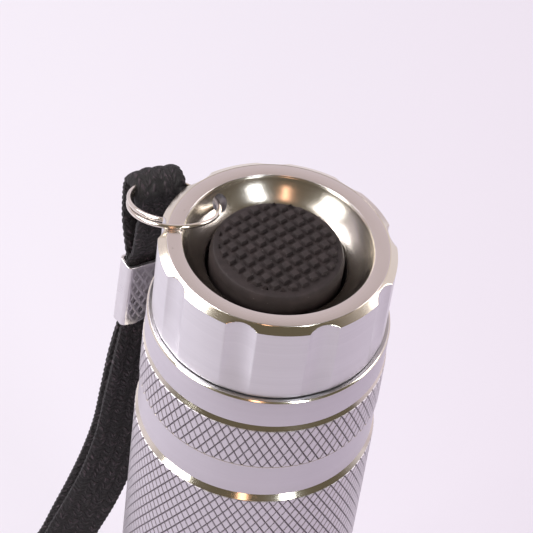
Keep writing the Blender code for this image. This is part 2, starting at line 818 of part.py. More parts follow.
def make_cells():
    """The cells stand between the carrier's plates, each with a spring under its flat end."""
    for i, x, y in cell_places():
        flipped = i == CELL_COUNT - 1
        flat_end = cell_bay_bottom + SEAT_GAP if flipped else cell_bay_top - SEAT_GAP - CELL_LENGTH
        profile = [
            (0.0, CELL_LENGTH),
            (CELL_NUB_RADIUS, CELL_LENGTH),
            (CELL_NUB_RADIUS, CELL_LENGTH - CELL_NUB_LENGTH),
            (CELL_RADIUS - CELL_EDGE, CELL_LENGTH - CELL_NUB_LENGTH),
            (CELL_RADIUS, CELL_LENGTH - CELL_NUB_LENGTH - CELL_EDGE),
            (CELL_RADIUS, CELL_EDGE),
            (CELL_RADIUS - CELL_EDGE, 0.0),
            (0.0, 0.0),
        ]
        if flipped:
            profile = [(radius, CELL_LENGTH - height) for radius, height in profile[::-1]]
        cell = turned(f"cell_{i + 1}", "cell_wrap", profile, SMALL_STEPS, closed=False)
        cell.location = (x, y, flat_end)
        spring_bottom = cell_bay_top - SEAT_GAP - CELL_SPRING_LENGTH if flipped else cell_bay_bottom
        name = f"cell_spring_{i + 1}"
        points = coil_points(
            spring_bottom + SEAT_GAP / 2,
            CELL_SPRING_LENGTH,
            CELL_SPRING_RADIUS,
            CELL_SPRING_RADIUS,
            CELL_SPRING_TURNS,
            CELL_SPRING_WIRE,
            (x, y),
        )
        wire(name, "spring_steel", points, CELL_SPRING_WIRE)
        report_gap(name, points, CELL_SPRING_WIRE)


def make_tail_cap():
    """The tail cap: a fluted skirt, a dish round the button, and a nose that screws into the tube."""
    top = rim_height
    skirt = top - SKIRT_LENGTH
    nose_end = skirt - NOSE_LENGTH
    groove_top = skirt - SEAL_GROOVE_OFFSET
    groove_bottom = groove_top - SEAL_WIRE - 2 * SEAL_GAP
    groove_floor = seal_groove_floor(female_radius)
    lip = top - BOWL_DEPTH
    profile = [
        (bowl_radius, top),
        (cap_radius - RIM_CHAMFER_WIDTH, top),
        (cap_radius, top - RIM_CHAMFER_DROP),
        (cap_radius, skirt),
        (nose_radius, skirt),
        (nose_radius, groove_top),
        (groove_floor, groove_top),
        (groove_floor, groove_bottom),
        (nose_radius, groove_bottom),
        (nose_radius, nose_end + NOSE_CHAMFER),
        (nose_radius - NOSE_CHAMFER, nose_end),
        (pocket_radius, nose_end),
        (pocket_radius, lip - WEB_THICKNESS),
        (button_hole_radius, lip - WEB_THICKNESS),
        (button_hole_radius, lip),
    ]
    profile += dish(bowl_radius, top, button_hole_radius, lip, BOWL_SAG, 5)
    cap = turned("tail_cap", "satin_aluminium", profile, OUTER_STEPS)
    make_seal("tail_seal", female_radius, groove_top)

    half_width = FLUTE_WIDTH / 2
    cap_sagitta = cap_radius - math.sqrt(cap_radius**2 - half_width**2)
    below_chord = FLUTE_DEPTH - cap_sagitta
    cutter_radius = (half_width**2 + below_chord**2) / (2 * below_chord)
    cutter_place = cap_radius - FLUTE_DEPTH + cutter_radius

    def build_flutes(bm):
        for i in range(FLUTE_COUNT):
            angle = FLUTE_AZIMUTH + math.tau * i / FLUTE_COUNT
            x, y = cutter_place * math.cos(angle), cutter_place * math.sin(angle)
            round_bar(bm, (x, y, skirt - SKIRT_GAP), (x, y, top + SKIRT_GAP), cutter_radius, 28)

    flutes = mesh_object("flute_cutters", build_flutes)
    make_cutter(flutes)
    cut(cap, flutes, "flutes")

    def build_hole(bm):
        reach = 3 * HOLE_RADIUS + FLUTE_WIDTH / 2
        middle, along = hole_middle(), hole_direction()
        round_bar(bm, middle - along * reach, middle + along * reach, HOLE_RADIUS, 16)

    hole = mesh_object("lanyard_hole_cutter", build_hole)
    make_cutter(hole)
    cut(cap, hole, "lanyard_hole")


def hole_middle():
    """The middle of the lanyard hole, in the wall of the cap."""
    return Vector(
        (
            (cap_radius - HOLE_SETBACK) * math.cos(HOLE_AZIMUTH),
            (cap_radius - HOLE_SETBACK) * math.sin(HOLE_AZIMUTH),
            rim_height - HOLE_DROP,
        )
    )


def hole_direction():
    """The hole's direction, from the dish outwards and a little down."""
    level = math.cos(HOLE_DIP)
    return Vector((level * math.cos(HOLE_HEADING), level * math.sin(HOLE_HEADING), -math.sin(HOLE_DIP)))


def make_boot():
    """The rubber boot, as a flange that stays under the dish's lip and a button that travels."""
    top = rim_height
    flange_top = top - boot_top_drop
    turned(
        "boot_flange",
        "black_rubber",
        [
            (pocket_piece_radius, flange_top),
            (pocket_piece_radius, flange_top - BOOT_FLANGE),
            (button_hole_radius, flange_top - BOOT_FLANGE),
            (button_hole_radius, flange_top),
        ],
        INNER_STEPS,
    )
    crown = top - BUTTON_CROWN_DROP
    edge = top - BUTTON_EDGE_DROP
    bottom = top - BUTTON_BOTTOM_DROP
    ceiling = crown - BUTTON_TOP_THICKNESS
    inner = BUTTON_RADIUS - BUTTON_WALL
    profile = [(0.0, crown)]
    for i in range(1, 5):
        share = i / 5
        profile.append((BUTTON_TOP_RADIUS * share, crown - (crown - edge) * share**2))
    profile += [
        (BUTTON_TOP_RADIUS, edge),
        (BUTTON_RADIUS, top - BUTTON_SHOULDER_DROP),
        (BUTTON_RADIUS, bottom),
        (inner, bottom),
        (inner, ceiling),
        (0.0, ceiling),
    ]
    turned("boot_button", "black_rubber", profile, TUBE_STEPS, closed=False)
    washer_top = top - washer_top_drop
    turned(
        "boot_washer",
        "black_plastic",
        [
            (pocket_piece_radius, washer_top),
            (pocket_piece_radius, washer_top - BOOT_WASHER),
            (button_hole_radius, washer_top - BOOT_WASHER),
            (button_hole_radius, washer_top),
        ],
        INNER_STEPS,
    )


def make_switch():
    """The switch stack: a housing with a sprung plunger, its board, and a slotted ring that holds them in."""
    top = rim_height - switch_top_drop
    well = PLUNGER_RADIUS + SEAT_GAP
    turned(
        "switch_housing",
        "black_plastic",
        [
            (0.0, top - SWITCH_WELL),
            (well, top - SWITCH_WELL),
            (well, top),
            (pocket_piece_radius, top),
            (pocket_piece_radius, top - SWITCH_HEIGHT),
            (0.0, top - SWITCH_HEIGHT),
        ],
        INNER_STEPS,
        closed=False,
    )
    plunger_top = rim_height - BUTTON_CROWN_DROP - BUTTON_TOP_THICKNESS - SEAT_GAP
    turned(
        "switch_plunger",
        "black_plastic",
        [
            (0.0, plunger_top),
            (PLUNGER_TIP_RADIUS, plunger_top),
            (PLUNGER_TIP_RADIUS, plunger_top - PLUNGER_LENGTH / 2),
            (PLUNGER_RADIUS, plunger_top - PLUNGER_LENGTH / 2),
            (PLUNGER_RADIUS, plunger_top - PLUNGER_LENGTH),
            (0.0, plunger_top - PLUNGER_LENGTH),
        ],
        SMALL_STEPS,
        closed=False,
    )
    board_top = rim_height - switch_board_drop
    turned(
        "switch_board",
        "board_green",
        [
            (0.0, board_top),
            (pocket_piece_radius, board_top),
            (pocket_piece_radius, board_top - SWITCH_BOARD),
            (0.0, board_top - SWITCH_BOARD),
        ],
        SMALL_STEPS,
        closed=False,
    )
    ring_top = rim_height - retainer_drop
    ring_bottom = ring_top - RETAINER_HEIGHT
    retainer = turned(
        "switch_retainer",
        "brass",
        [
            (pocket_piece_radius, ring_top),
            (pocket_piece_radius, ring_bottom),
            (RETAINER_BORE, ring_bottom),
            (RETAINER_BORE, ring_top),
        ],
        INNER_STEPS,
    )

    def build_slot(bm):
        reach = pocket_piece_radius + SEAT_GAP
        half = RETAINER_SLOT / 2
        box(bm, (-reach, -half, ring_bottom - SEAT_GAP), (reach, half, ring_bottom + RETAINER_HEIGHT / 2))

    slot = mesh_object("retainer_slot_cutter", build_slot)
    make_cutter(slot)
    cut(retainer, slot, "slots")
    points = coil_points(tail_spring_bottom, TAIL_SPRING_LENGTH, TAIL_SPRING_RADIUS, TAIL_SPRING_RADIUS,
                         TAIL_SPRING_TURNS, TAIL_SPRING_WIRE)
    wire("tail_spring", "spring_steel", points, TAIL_SPRING_WIRE)
    report_gap("tail_spring", points, TAIL_SPRING_WIRE)


def ring_frame():
    """The split ring's centre, the direction from it back to the hole, its way round and its normal."""
    along = hole_direction()
    up = (Vector((0, 0, 1)) - along * along.z).normalized()
    out = along.cross(up).normalized()
    if out.x > 0:
        out = -out
    to_centre = out * math.cos(RING_LIFT) + up * math.sin(RING_LIFT)
    centre = hole_middle() + to_centre * RING_RADIUS
    normal = to_centre.cross(along).normalized()
    if normal.z < 0:
        normal = -normal
    return centre, -to_centre, -along, normal


def ring_point(angle, lift):
    """A point on the ring: angle 0 is in the hole, and it grows through the dish and over the rim."""
    centre, to_hole, around, normal = ring_frame()
    return centre + (to_hole * math.cos(angle) + around * math.sin(angle)) * RING_RADIUS + normal * lift


def ring_points():
    """The wire's points: the upper turn from the rim round to the hole, then the lower turn through it."""
    points = []
    sweep = math.tau - RING_START + RING_END
    count = int(round(sweep / math.tau * RING_POINTS))
    for i in range(count + 1):
        angle = RING_START - math.tau + sweep * i / count
        turn = angle + math.tau
        share = min(max((turn - RING_STEP_FROM) / (RING_STEP_TO - RING_STEP_FROM), 0.0), 1.0)
        ease = share * share * (3 - 2 * share)
        sag = RING_SAG * max(0.0, -math.cos(angle))
        points.append(ring_point(angle, RING_PITCH * (1 - ease) - sag))
    return points


def make_ring():
    """The split ring, half threaded through the cap, which turns in its hole."""
    points = ring_points()
    wire("split_ring", "spring_steel", points, RING_WIRE, hole_middle())
    report_gap("split_ring", points, RING_WIRE)


def smooth_route(points, spacing):
    """Evenly spaced points along a smooth curve through the given ones."""
    places = np.array(points, float)
    ends = np.vstack([2 * places[0] - places[1], places, 2 * places[-1] - places[-2]])
    fine = []
    for i in range(1, len(ends) - 2):
        before, start, end, after = ends[i - 1: i + 3]
        for share in np.linspace(0.0, 1.0, ROUTE_STEPS, endpoint=False):
            bend = (2 * before - 5 * start + 4 * end - after) * share**2
            twist = (3 * start - before - 3 * end + after) * share**3
            fine.append(0.5 * (2 * start + (end - before) * share + bend + twist))
    fine.append(places[-1])
    fine = np.array(fine)
    lengths = np.concatenate([[0.0], np.cumsum(np.linalg.norm(np.diff(fine, axis=0), axis=1))])
    count = int(round(lengths[-1] / spacing))
    wanted = np.linspace(0.0, lengths[-1], count + 1)
    return np.stack([np.interp(wanted, lengths, fine[:, k]) for k in range(3)], axis=1), lengths[-1]


def strap_section(width, thickness):
    """The strap's section, a flat shape with round edges, as (across, through) pairs."""
    section = []
    for i in range(STRAP_SIDES):
        angle = math.tau * (i + 0.5) / STRAP_SIDES
        round_end = math.copysign(width / 2 - thickness / 2, math.cos(angle))
        section.append((round_end + thickness / 2 * math.cos(angle), thickness / 2 * math.sin(angle)))
    return section


def pressed_thickness(distance):
    """The strap's thickness at a distance outside the crimp, whose sleeve presses it thinner."""
    share = min(max(distance / STRAP_PRESS_RUN, 0.0), 1.0)
    return STRAP_PRESSED + (STRAP_THICKNESS - STRAP_PRESSED) * share


def ribbon(name, material, points, across, widths, thickness):
    """A flat strap, swept along the points with its width along across, that turns on the ring."""
    count = len(points)

    def build(bm):
        rings = []
        for i in range(count):
            ahead = Vector(points[min(i + 1, count - 1)]) - Vector(points[max(i - 1, 0)])
            ahead.normalize()
            side = Vector(across[i])
            side = (side - ahead * side.dot(ahead)).normalized()
            face = ahead.cross(side)
            section = strap_section(widths[i], thickness[i])
            rings.append([bm.verts.new(Vector(points[i]) + side * u + face * v) for u, v in section])
        for near, far in zip(rings, rings[1:]):
            for k in range(STRAP_SIDES):
                bm.faces.new((near[k], near[k - 1], far[k - 1], far[k]))
        bm.faces.new(rings[0])
        bm.faces.new(rings[-1][::-1])

    return mesh_object(name, build, material, fold_place())


def loop_directions():
    """Outwards from the ring's middle at the top loop, and along the strap's width there."""
    outward = Vector((math.cos(LOOP_AZIMUTH), math.sin(LOOP_AZIMUTH), 0.0))
    along = Vector((outward.y, -outward.x, 0.0))
    return outward, along


def fold_place():
    """Where the strap folds over the ring's wire, which is also where it swings."""
    outward = loop_directions()[0]
    fold = ring_frame()[0] + outward * (RING_RADIUS - LOOP_SETBACK)
    fold.z = rim_height - LOOP_DROP
    return fold


def crimp_directions():
    """The crimp's tilted width, its way outwards and its axis up."""
    outward = Vector((math.cos(CRIMP_AZIMUTH), math.sin(CRIMP_AZIMUTH), 0.0))
    level = Vector((outward.y, -outward.x, 0.0))
    up = Vector((0.0, 0.0, 1.0))
    width = level * math.cos(CRIMP_TILT) - up * math.sin(CRIMP_TILT)
    return width, outward, up * math.cos(CRIMP_TILT) + level * math.sin(CRIMP_TILT)


def crimp_middle():
    """The middle of the crimp, nearly plumb under the top loop and set out from the tube."""
    outward, along = loop_directions()
    middle = fold_place() + outward * CRIMP_OFFSET + along * CRIMP_SHIFT
    middle.z = rim_height - CRIMP_TOP_DROP - CRIMP_LENGTH / 2
    return middle


def make_top_loop():
    """The folded strap that hangs on the ring, from the crimp up over the wire and down again."""
    outward, along = loop_directions()
    fold = fold_place()
    radius = LOOP_INNER_RADIUS + STRAP_THICKNESS / 2
    ply = (STRAP_PRESSED + STRAP_PLY_GAP) / 2
    width, crimp_outward, axis = crimp_directions()
    crimp = crimp_middle()
    mouth = crimp + axis * CRIMP_LENGTH / 2
    waist = (fold + mouth) / 2
    legs = []
    for side, waist_share in ((-1, LOOP_INNER_WAIST), (1, LOOP_OUTER_WAIST)):
        apart = crimp_outward * side * ply
        legs.append([
            crimp + apart + axis * SEAT_GAP / 2,
            mouth + apart,
            mouth + apart + axis * LOOP_STRAIGHT,
            waist + outward * side * radius * waist_share,
        ])
    arc = []
    for i in range(LOOP_STEPS + 1):
        angle = math.pi * i / LOOP_STEPS
        arc.append(fold - outward * radius * math.cos(angle) + Vector((0, 0, radius * math.sin(angle))))
    folded_width = along - Vector((0, 0, math.tan(LOOP_TILT)))
    points, across, widths, thickness = [], [], [], []
    for point in legs[0] + arc + legs[1][::-1]:
        to_waist = min(max((point.z - mouth.z) / (waist.z - mouth.z), 0.0), 1.0)
        to_fold = min(max((point.z - waist.z) / (fold.z - waist.z), 0.0), 1.0)
        points.append(point + along * FOLD_SHIFT * to_fold)
        across.append(width.lerp(folded_width, to_waist))
        widths.append(STRAP_WIDTH + (FOLD_WIDTH - STRAP_WIDTH) * to_fold)
        thickness.append(pressed_thickness(point.z - mouth.z))
    ribbon("strap_top_loop", "black_nylon", points, across, widths, thickness)


def make_crimp():
    """The metal sleeve that holds the plies: a flat tube with rounded corners, open at both ends."""
    middle = crimp_middle()
    inner_width = STRAP_WIDTH + 2 * CRIMP_GAP
    inner_depth = 2 * STRAP_PRESSED + STRAP_PLY_GAP + 2 * CRIMP_GAP
    turn = Matrix(crimp_directions()).transposed().to_4x4()

    def sleeve_builder(width, depth, length, bevel):
        def build(bm):
            box(bm, (-width / 2, -depth / 2, -length / 2), (width / 2, depth / 2, length / 2))
            upright = [edge for edge in bm.edges if abs(edge.verts[0].co.z - edge.verts[1].co.z) > length / 2]
            bmesh.ops.bevel(
                bm, geom=upright, offset=bevel, segments=2, profile=0.5, affect="EDGES", material=-1
            )
            bmesh.ops.transform(bm, matrix=Matrix.Translation(middle) @ turn, verts=bm.verts)
        return build

    outer_width = inner_width + 2 * CRIMP_WALL
    outer_depth = inner_depth + 2 * CRIMP_WALL
    crimp = mesh_object("strap_crimp", sleeve_builder(outer_width, outer_depth, CRIMP_LENGTH, 2 * CRIMP_WALL),
                        "crimp_metal", fold_place())
    through = mesh_object(
        "crimp_bore_cutter",
        sleeve_builder(inner_width, inner_depth, CRIMP_LENGTH + 2 * CRIMP_WALL, CRIMP_WALL),
    )
    make_cutter(through)
    cut(crimp, through, "bore")


def strap_legs(outward):
    """The front and the back leg's points, set apart either side of the spine."""
    legs = [[], []]
    for x, y, z, apart in STRAP_SPINE_MM:
        middle = Vector((x, y, z)) * MM
        share = (STRAP_SPINE_MM[0][2] - z) / (STRAP_SPINE_MM[0][2] - STRAP_SPINE_MM[-1][2])
        facing = (outward * (1 - share) + Vector((0, 1, 0)) * share).normalized()
        for leg, sign in zip(legs, (-1, 1)):
            leg.append(tuple(middle + facing * sign * apart / 2 * MM))
    return legs


def make_wrist_strap():
    """The wrist loop: both of its ends in the crimp, and its lowest stretch laid on the surface."""
    width, outward, axis = crimp_directions()
    crimp = crimp_middle()
    ply = (STRAP_PRESSED + STRAP_PLY_GAP) / 2
    mouth = crimp - axis * CRIMP_LENGTH / 2
    ends = []
    for side in (-1, 1):
        apart = outward * side * ply
        ends.append([
            tuple(crimp + apart - axis * SEAT_GAP / 2),
            tuple(mouth + apart),
            tuple(mouth + apart - axis * STRAP_THICKNESS),
        ])
    legs = strap_legs(outward)
    loop = [tuple(value * MM for value in point) for point in STRAP_LOOP_MM]
    points, length = smooth_route(ends[0] + legs[0] + loop + legs[1][::-1] + ends[1][::-1], STRAP_SPACING)
    turned_width = Vector((math.cos(STRAP_TURN), math.sin(STRAP_TURN), 0.0))
    widths = [STRAP_WIDTH] * len(points)
    across, thickness = [], []
    for point in points:
        drop = mouth.z - point[2]
        across.append(width.lerp(turned_width, min(max(drop / STRAP_TURN_DROP, 0.0), 1.0)))
        thickness.append(pressed_thickness(drop))
    ribbon("wrist_strap", "black_nylon", points, across, widths, thickness)
    print(f"wrist_strap: {length / MM:.1f} mm long")


clear_scene()
parts = new_collection(COLLECTION_NAME)
cutters = new_collection("cutters")
make_bezel()
make_lens()
make_reflector()
make_light_engine()
make_head_shell()
make_body_tube()
make_carrier()
make_terminal("front_terminal", front_terminal_bottom, TERMINAL_RADIUS, TERMINAL_HOLE)
make_terminal("rear_terminal", rear_terminal_bottom, REAR_TERMINAL_RADIUS, TERMINAL_RADIUS)
make_cells()
make_tail_cap()
make_boot()
make_switch()
make_ring()
make_top_loop()
make_crimp()
make_wrist_strap()
print(f"flashlight: {rim_height / MM:.2f} mm from bezel to rim")
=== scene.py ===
"""A flashlight with a knurled aluminium tube, standing on its head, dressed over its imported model.

Sizes are in millimetres until they reach a mesh, where they are metres in the frame's own coordinates.
"""
import logging
import math
from collections.abc import Callable, Sequence
from dataclasses import dataclass
from enum import Enum
from typing import Any

import bmesh
import bpy
import numpy as np
from mathutils import Matrix, Vector


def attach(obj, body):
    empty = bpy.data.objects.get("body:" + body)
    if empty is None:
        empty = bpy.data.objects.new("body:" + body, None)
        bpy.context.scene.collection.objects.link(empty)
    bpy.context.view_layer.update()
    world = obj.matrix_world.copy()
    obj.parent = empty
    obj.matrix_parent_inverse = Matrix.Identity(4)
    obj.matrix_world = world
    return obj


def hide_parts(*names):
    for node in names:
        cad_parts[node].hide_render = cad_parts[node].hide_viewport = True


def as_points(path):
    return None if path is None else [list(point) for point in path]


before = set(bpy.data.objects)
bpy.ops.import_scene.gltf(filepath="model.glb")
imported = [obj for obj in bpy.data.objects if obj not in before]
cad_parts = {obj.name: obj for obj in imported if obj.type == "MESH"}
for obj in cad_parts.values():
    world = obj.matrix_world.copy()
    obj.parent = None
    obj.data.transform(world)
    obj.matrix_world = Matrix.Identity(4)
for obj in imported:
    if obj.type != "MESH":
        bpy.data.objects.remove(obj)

MM = 0.001
RIM = 118.7
TURNED_STEPS = 176
FINE_STEPS = 120
SHARP_DEGREES = 32.0
THREAD_DEPTH = 0.45
THREAD_PITCH = 1.0
SEAL_LAND = 1.0
SEAL_WIRE = 1.0
SEAL_PLAY = 0.12
SEAL_SIDES = 14
UP = Vector((0.0, 0.0, 1.0))
LOG = logging.getLogger("flashlight")
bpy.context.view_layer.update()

Colour = tuple[float, float, float]
Pair = tuple[float, float]
Triple = tuple[float, float, float]


class Slot(Enum):
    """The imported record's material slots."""

    ALUMINIUM = "satin_aluminium"
    RUBBER = "black_rubber"
    SPRING = "spring_steel"
    CRIMP = "crimp_metal"
    NYLON = "black_nylon"


class Blend(Enum):
    """Ways that two colours are mixed."""

    MIX = "MIX"
    MULTIPLY = "MULTIPLY"


def operator(operation: str, swapped: bool = False) -> Callable[["Val", Any], "Val"]:
    """Make one of a value's arithmetic methods.

    Args:
        operation: The Math node's operation.
        swapped: The value comes second.

    Returns:
        The method.
    """
    def method(self: "Val", other: Any) -> "Val":
        """Add the Math node and give its result."""
        return self.math(operation, *((other, self) if swapped else (self, other)))
    return method


class Val:
    """A value that runs between a material's nodes and takes part in Python arithmetic."""

    def __init__(self, shader: "Shader", socket: bpy.types.NodeSocket) -> None:
        """Wrap a node's output, for that material's writer."""
        self.shader = shader
        self.socket = socket

    def math(self, operation: str, *values: Any, clamp: bool = False) -> "Val":
        """The result of a new Math node, kept between 0 and 1 if clamp says so."""
        settings = {"operation": operation, "use_clamp": clamp}
        return self.shader.value(0, "ShaderNodeMath", settings, dict(enumerate(values)))

    __add__, __radd__ = operator("ADD"), operator("ADD", True)
    __sub__, __rsub__ = operator("SUBTRACT"), operator("SUBTRACT", True)
    __mul__, __rmul__ = operator("MULTIPLY"), operator("MULTIPLY", True)
    __truediv__ = operator("DIVIDE")
    most = operator("MAXIMUM")

    def __abs__(self) -> "Val":
        """The value without its sign."""
        return self.math("ABSOLUTE", self)

    def sin(self) -> "Val":
        """The sine of the value in radians."""
        return self.math("SINE", self)

    def ridges(self) -> "Val":
        """Ridges that reach 1 at every whole number and fall to 0 halfway."""
        return abs(self.math("FRACT", self) - 0.5) * 2.0

    def root(self) -> "Val":
        """The square root."""
        return self.math("SQRT", self)

    def clamped(self) -> "Val":
        """The value kept between 0 and 1."""
        return self.math("ADD", self, 0.0, clamp=True)

    def about(self, reach: Any) -> "Val":
        """A value from 0 to 1, turned into a change of up to half of reach either way."""
        return (self - 0.5) * reach

    def step(self, low: float, high: float) -> "Val":
        """A smooth step that leaves 0 at the low value and reaches 1 at the high one."""
        sockets = {"Value": self, "From Min": low, "From Max": high}
        return self.shader.value("Result", "ShaderNodeMapRange", {"interpolation_type": "SMOOTHSTEP"}, sockets)


class Shader:
    """Writes the nodes of one material."""

    def __init__(self, owner: bpy.types.Material | bpy.types.World) -> None:
        """Start with empty nodes.

        Args:
            owner: The material or the world that is written.
        """
        owner.use_nodes = True
        self.material = owner
        self.tree = owner.node_tree
        self.tree.nodes.clear()

    @classmethod
    def named(cls, name: str) -> "Shader":
        """Start an empty material of that name."""
        return cls(bpy.data.materials.new(name))

    def node(self, kind: str, settings: dict[str, Any] | None = None, sockets: dict[Any, Any] | None = None) -> Any:
        """Add a node.

        Args:
            kind: The node's type.
            settings: Its properties, which are set first; stops holds a ramp's places and colours.
            sockets: Values or links, by the input's name or place.

        Returns:
            The node.
        """
        node = self.tree.nodes.new(kind)
        for key, value in (settings or {}).items():
            if key == "stops":
                ramp = node.color_ramp
                while len(ramp.elements) < len(value):
                    ramp.elements.new(0.5)
                for element, (place, colour) in zip(ramp.elements, value):
                    element.position = place
                    element.color = (*colour, 1.0)
            else:
                setattr(node, key, value)
        for key, value in (sockets or {}).items():
            if isinstance(value, Val):
                self.tree.links.new(value.socket, node.inputs[key])
            else:
                node.inputs[key].default_value = value
        return node

    def value(self, output: int | str, kind: str, settings: dict[str, Any] | None = None,
              sockets: dict[Any, Any] | None = None) -> Val:
        """One output of a new node."""
        return Val(self, self.node(kind, settings, sockets).outputs[output])

    def coordinates(self) -> Val:
        """The object's coordinates in millimetres."""
        place = self.value("Object", "ShaderNodeTexCoord")
        return self.value(0, "ShaderNodeVectorMath", {"operation": "SCALE"}, {0: place, "Scale": 1 / MM})

    def uv(self) -> Val:
        """The piece's own UV map."""
        return self.value("UV", "ShaderNodeTexCoord")

    def attribute(self, name: str) -> Val:
        """A number that the mesh carries."""
        return self.value("Fac", "ShaderNodeAttribute", {"attribute_name": name})

    def split(self, vector: Val) -> tuple[Val, ...]:
        """The three parts of a vector."""
        return tuple(Val(self, output) for output in self.node("ShaderNodeSeparateXYZ", None, {0: vector}).outputs)

    def joined(self, x: Any, y: Any, z: Any = 0.0) -> Val:
        """A vector from its parts."""
        return self.value(0, "ShaderNodeCombineXYZ", None, {0: x, 1: y, 2: z})

    def noise(self, vector: Val, scale: float, detail: float = 2.0, rough: float = 0.5) -> Val:
        """Soft noise from 0 to 1, with so many blotches a unit; rough is the strength of its finer layers."""
        sockets = {"Vector": vector, "Scale": scale, "Detail": detail, "Roughness": rough}
        return self.value(0, "ShaderNodeTexNoise", None, sockets)

    def specks(self, vector: Val, scale: float) -> Val:
        """The distance from the nearest of many scattered points."""
        return self.value("Distance", "ShaderNodeTexVoronoi", None, {"Vector": vector, "Scale": scale})

    def mix(self, share: Any, first: Any, second: Any, way: Blend = Blend.MIX) -> Val:
        """Mix two colours.

        Args:
            share: How much of the second there is.
            first: A colour or a value.
            second: A colour or a value.
            way: How they are mixed.

        Returns:
            The colour.
        """
        colours = [c if isinstance(c, Val) else (*c, 1.0) for c in (first, second)]
        settings = {"data_type": "RGBA", "blend_type": way.value}
        return self.value(2, "ShaderNodeMix", settings, {0: share, 6: colours[0], 7: colours[1]})

    def toned(self, colour: Colour, tone: Val) -> Val:
        """A colour that a tone makes darker below 1 and brighter above it."""
        grey = self.value(0, "ShaderNodeCombineColor", None, {0: tone, 1: tone, 2: tone})
        return self.mix(1.0, colour, grey, Blend.MULTIPLY)

    def bump(self, height: Val, depth: float) -> Val:
        """A normal from a height, of which 1 stands as many millimetres high as the depth says."""
        return self.value(0, "ShaderNodeBump", None, {"Distance": depth * MM, "Height": height})

    def finish(self, colour: Any, roughness: Any, metallic: float = 0.0, normal: Val | None = None,
               **constants: Any) -> bpy.types.Material:
        """Close the material with its Principled shader.

        Args:
            colour: The base colour.
            roughness: The roughness.
            metallic: 1 for bare metal.
            normal: The normal, where a bump gives one.
            constants: Other sockets of the shader, by name with _ for a space.

        Returns:
            The material.
        """
        sockets: dict[Any, Any] = {
            "Base Color": colour if isinstance(colour, Val) else (*colour, 1.0),
            "Roughness": roughness,
            "Metallic": metallic,
        }
        if normal is not None:
            sockets["Normal"] = normal
        sockets.update({key.replace("_", " "): value for key, value in constants.items()})
        return self.close(self.value(0, "ShaderNodeBsdfPrincipled", None, sockets))

    def close(self, surface: Val) -> bpy.types.Material:
        """Lead a surface to the material's output."""
        self.node("ShaderNodeOutputMaterial", None, {0: surface})
        return self.material


class Lines(Enum):
    """Which way a turning tool's marks run."""

    ROUND_THE_SIDE = "side"
    ROUND_THE_FACE = "face"


@dataclass(frozen=True)
class TurnedMetal:
    """Bare turned metal, with the tool's fine marks, faint blotches and small nicks."""

    colour: Colour
    roughness: float
    lines: Lines
    pitch: float = 0.12
    depth: float = 0.0012
    grain: float = 0.0
    streak: float = 0.05
    spread: float = 0.0

    def material(self, name: str) -> bpy.types.Material:
        """Make the material.

        Args:
            name: The material's name.

        Returns:
            The material.
        """
        s = Shader.named(name)
        place = s.coordinates()
        x, y, z = s.split(place)
        radius = (x * x + y * y).root()
        along = z if self.lines is Lines.ROUND_THE_SIDE else radius
        round_way = s.joined(along / self.pitch, radius * 0.02, z * 0.02)
        marks = s.noise(round_way, 1.0, 3.0, 0.7)
        broad = s.noise(s.joined(along * 1.1, radius * 0.01, z * 0.01), 1.0, 1.0)
        blotch = s.noise(place, 0.35, 3.0)
        fine = s.noise(place, 9.0, 4.0, 0.75)
        nick = 1.0 - s.specks(place, 0.42).step(0.015, 0.05)
        tone = 1.0 + marks.about(self.streak) + broad.about(self.streak) + blotch.about(0.05)
        tone = tone + fine.about(self.grain) - nick * 0.25
        colour = s.toned(self.colour, tone)
        rough = (self.roughness + marks.about(0.08) + blotch.about(0.07) + fine.about(self.grain)).clamped()
        normal = s.bump(marks + fine * (self.grain * 6), self.depth)
        return s.finish(colour, rough, 1.0, normal, Anisotropic=self.spread, Anisotropic_Rotation=0.25)


@dataclass(frozen=True)
class KnurledMetal:
    """Knurled metal whose grooves carry painted shade by their depth and are rougher."""

    top: Colour
    groove: Colour
    roughness: float

    def material(self, name: str) -> bpy.types.Material:
        """Make the material.

        Args:
            name: The material's name.

        Returns:
            The material.
        """
        s = Shader.named(name)
        place = s.coordinates()
        deep = s.attribute("groove")
        blotch = s.noise(place, 0.3, 3.0)
        fine = s.noise(place, 7.0, 3.0, 0.7)
        # Painted shade: the deeper a point lies in the grooves, the more its colour turns to the dark groove colour.
        groove_shade = (deep + blotch.about(0.25 * deep)).clamped()
        tone = s.toned(self.top, 1.0 + blotch.about(0.08) + fine.about(0.12))
        colour = s.mix(groove_shade, tone, self.groove)
        rough = (self.roughness + deep * 0.2 + fine.about(0.15)).clamped()
        return s.finish(colour, rough, 1.0, s.bump(fine, 0.006))


@dataclass(frozen=True)
class Rubber:
    """Moulded rubber with a fine bloom, dust in soft blotches and a few pale specks."""

    colour: Colour
    roughness: float = 0.62
    dust: float = 0.35

    def material(self, name: str) -> bpy.types.Material:
        """Make the material.

        Args:
            name: The material's name.

        Returns:
            The material.
        """
        s = Shader.named(name)
        place = s.coordinates()
        bloom = s.noise(place, 0.6, 4.0, 0.6)
        skin = s.noise(place, 14.0, 3.0, 0.7)
        speck = (1.0 - s.specks(place, 1.7).step(0.03, 0.085)) * s.noise(place, 0.8, 1.0).step(0.48, 0.6)
        colour = s.mix(bloom.step(0.35, 0.75) * self.dust, self.colour, tuple(c * 2.1 + 0.004 for c in self.colour))
        colour = s.mix(speck * 0.6, colour, (0.30, 0.28, 0.27))
        rough = (self.roughness + skin.about(0.2) + bloom.about(0.15)).clamped()
        return s.finish(colour, rough, 0.0, s.bump(skin, 0.02), Specular_IOR_Level=0.42)


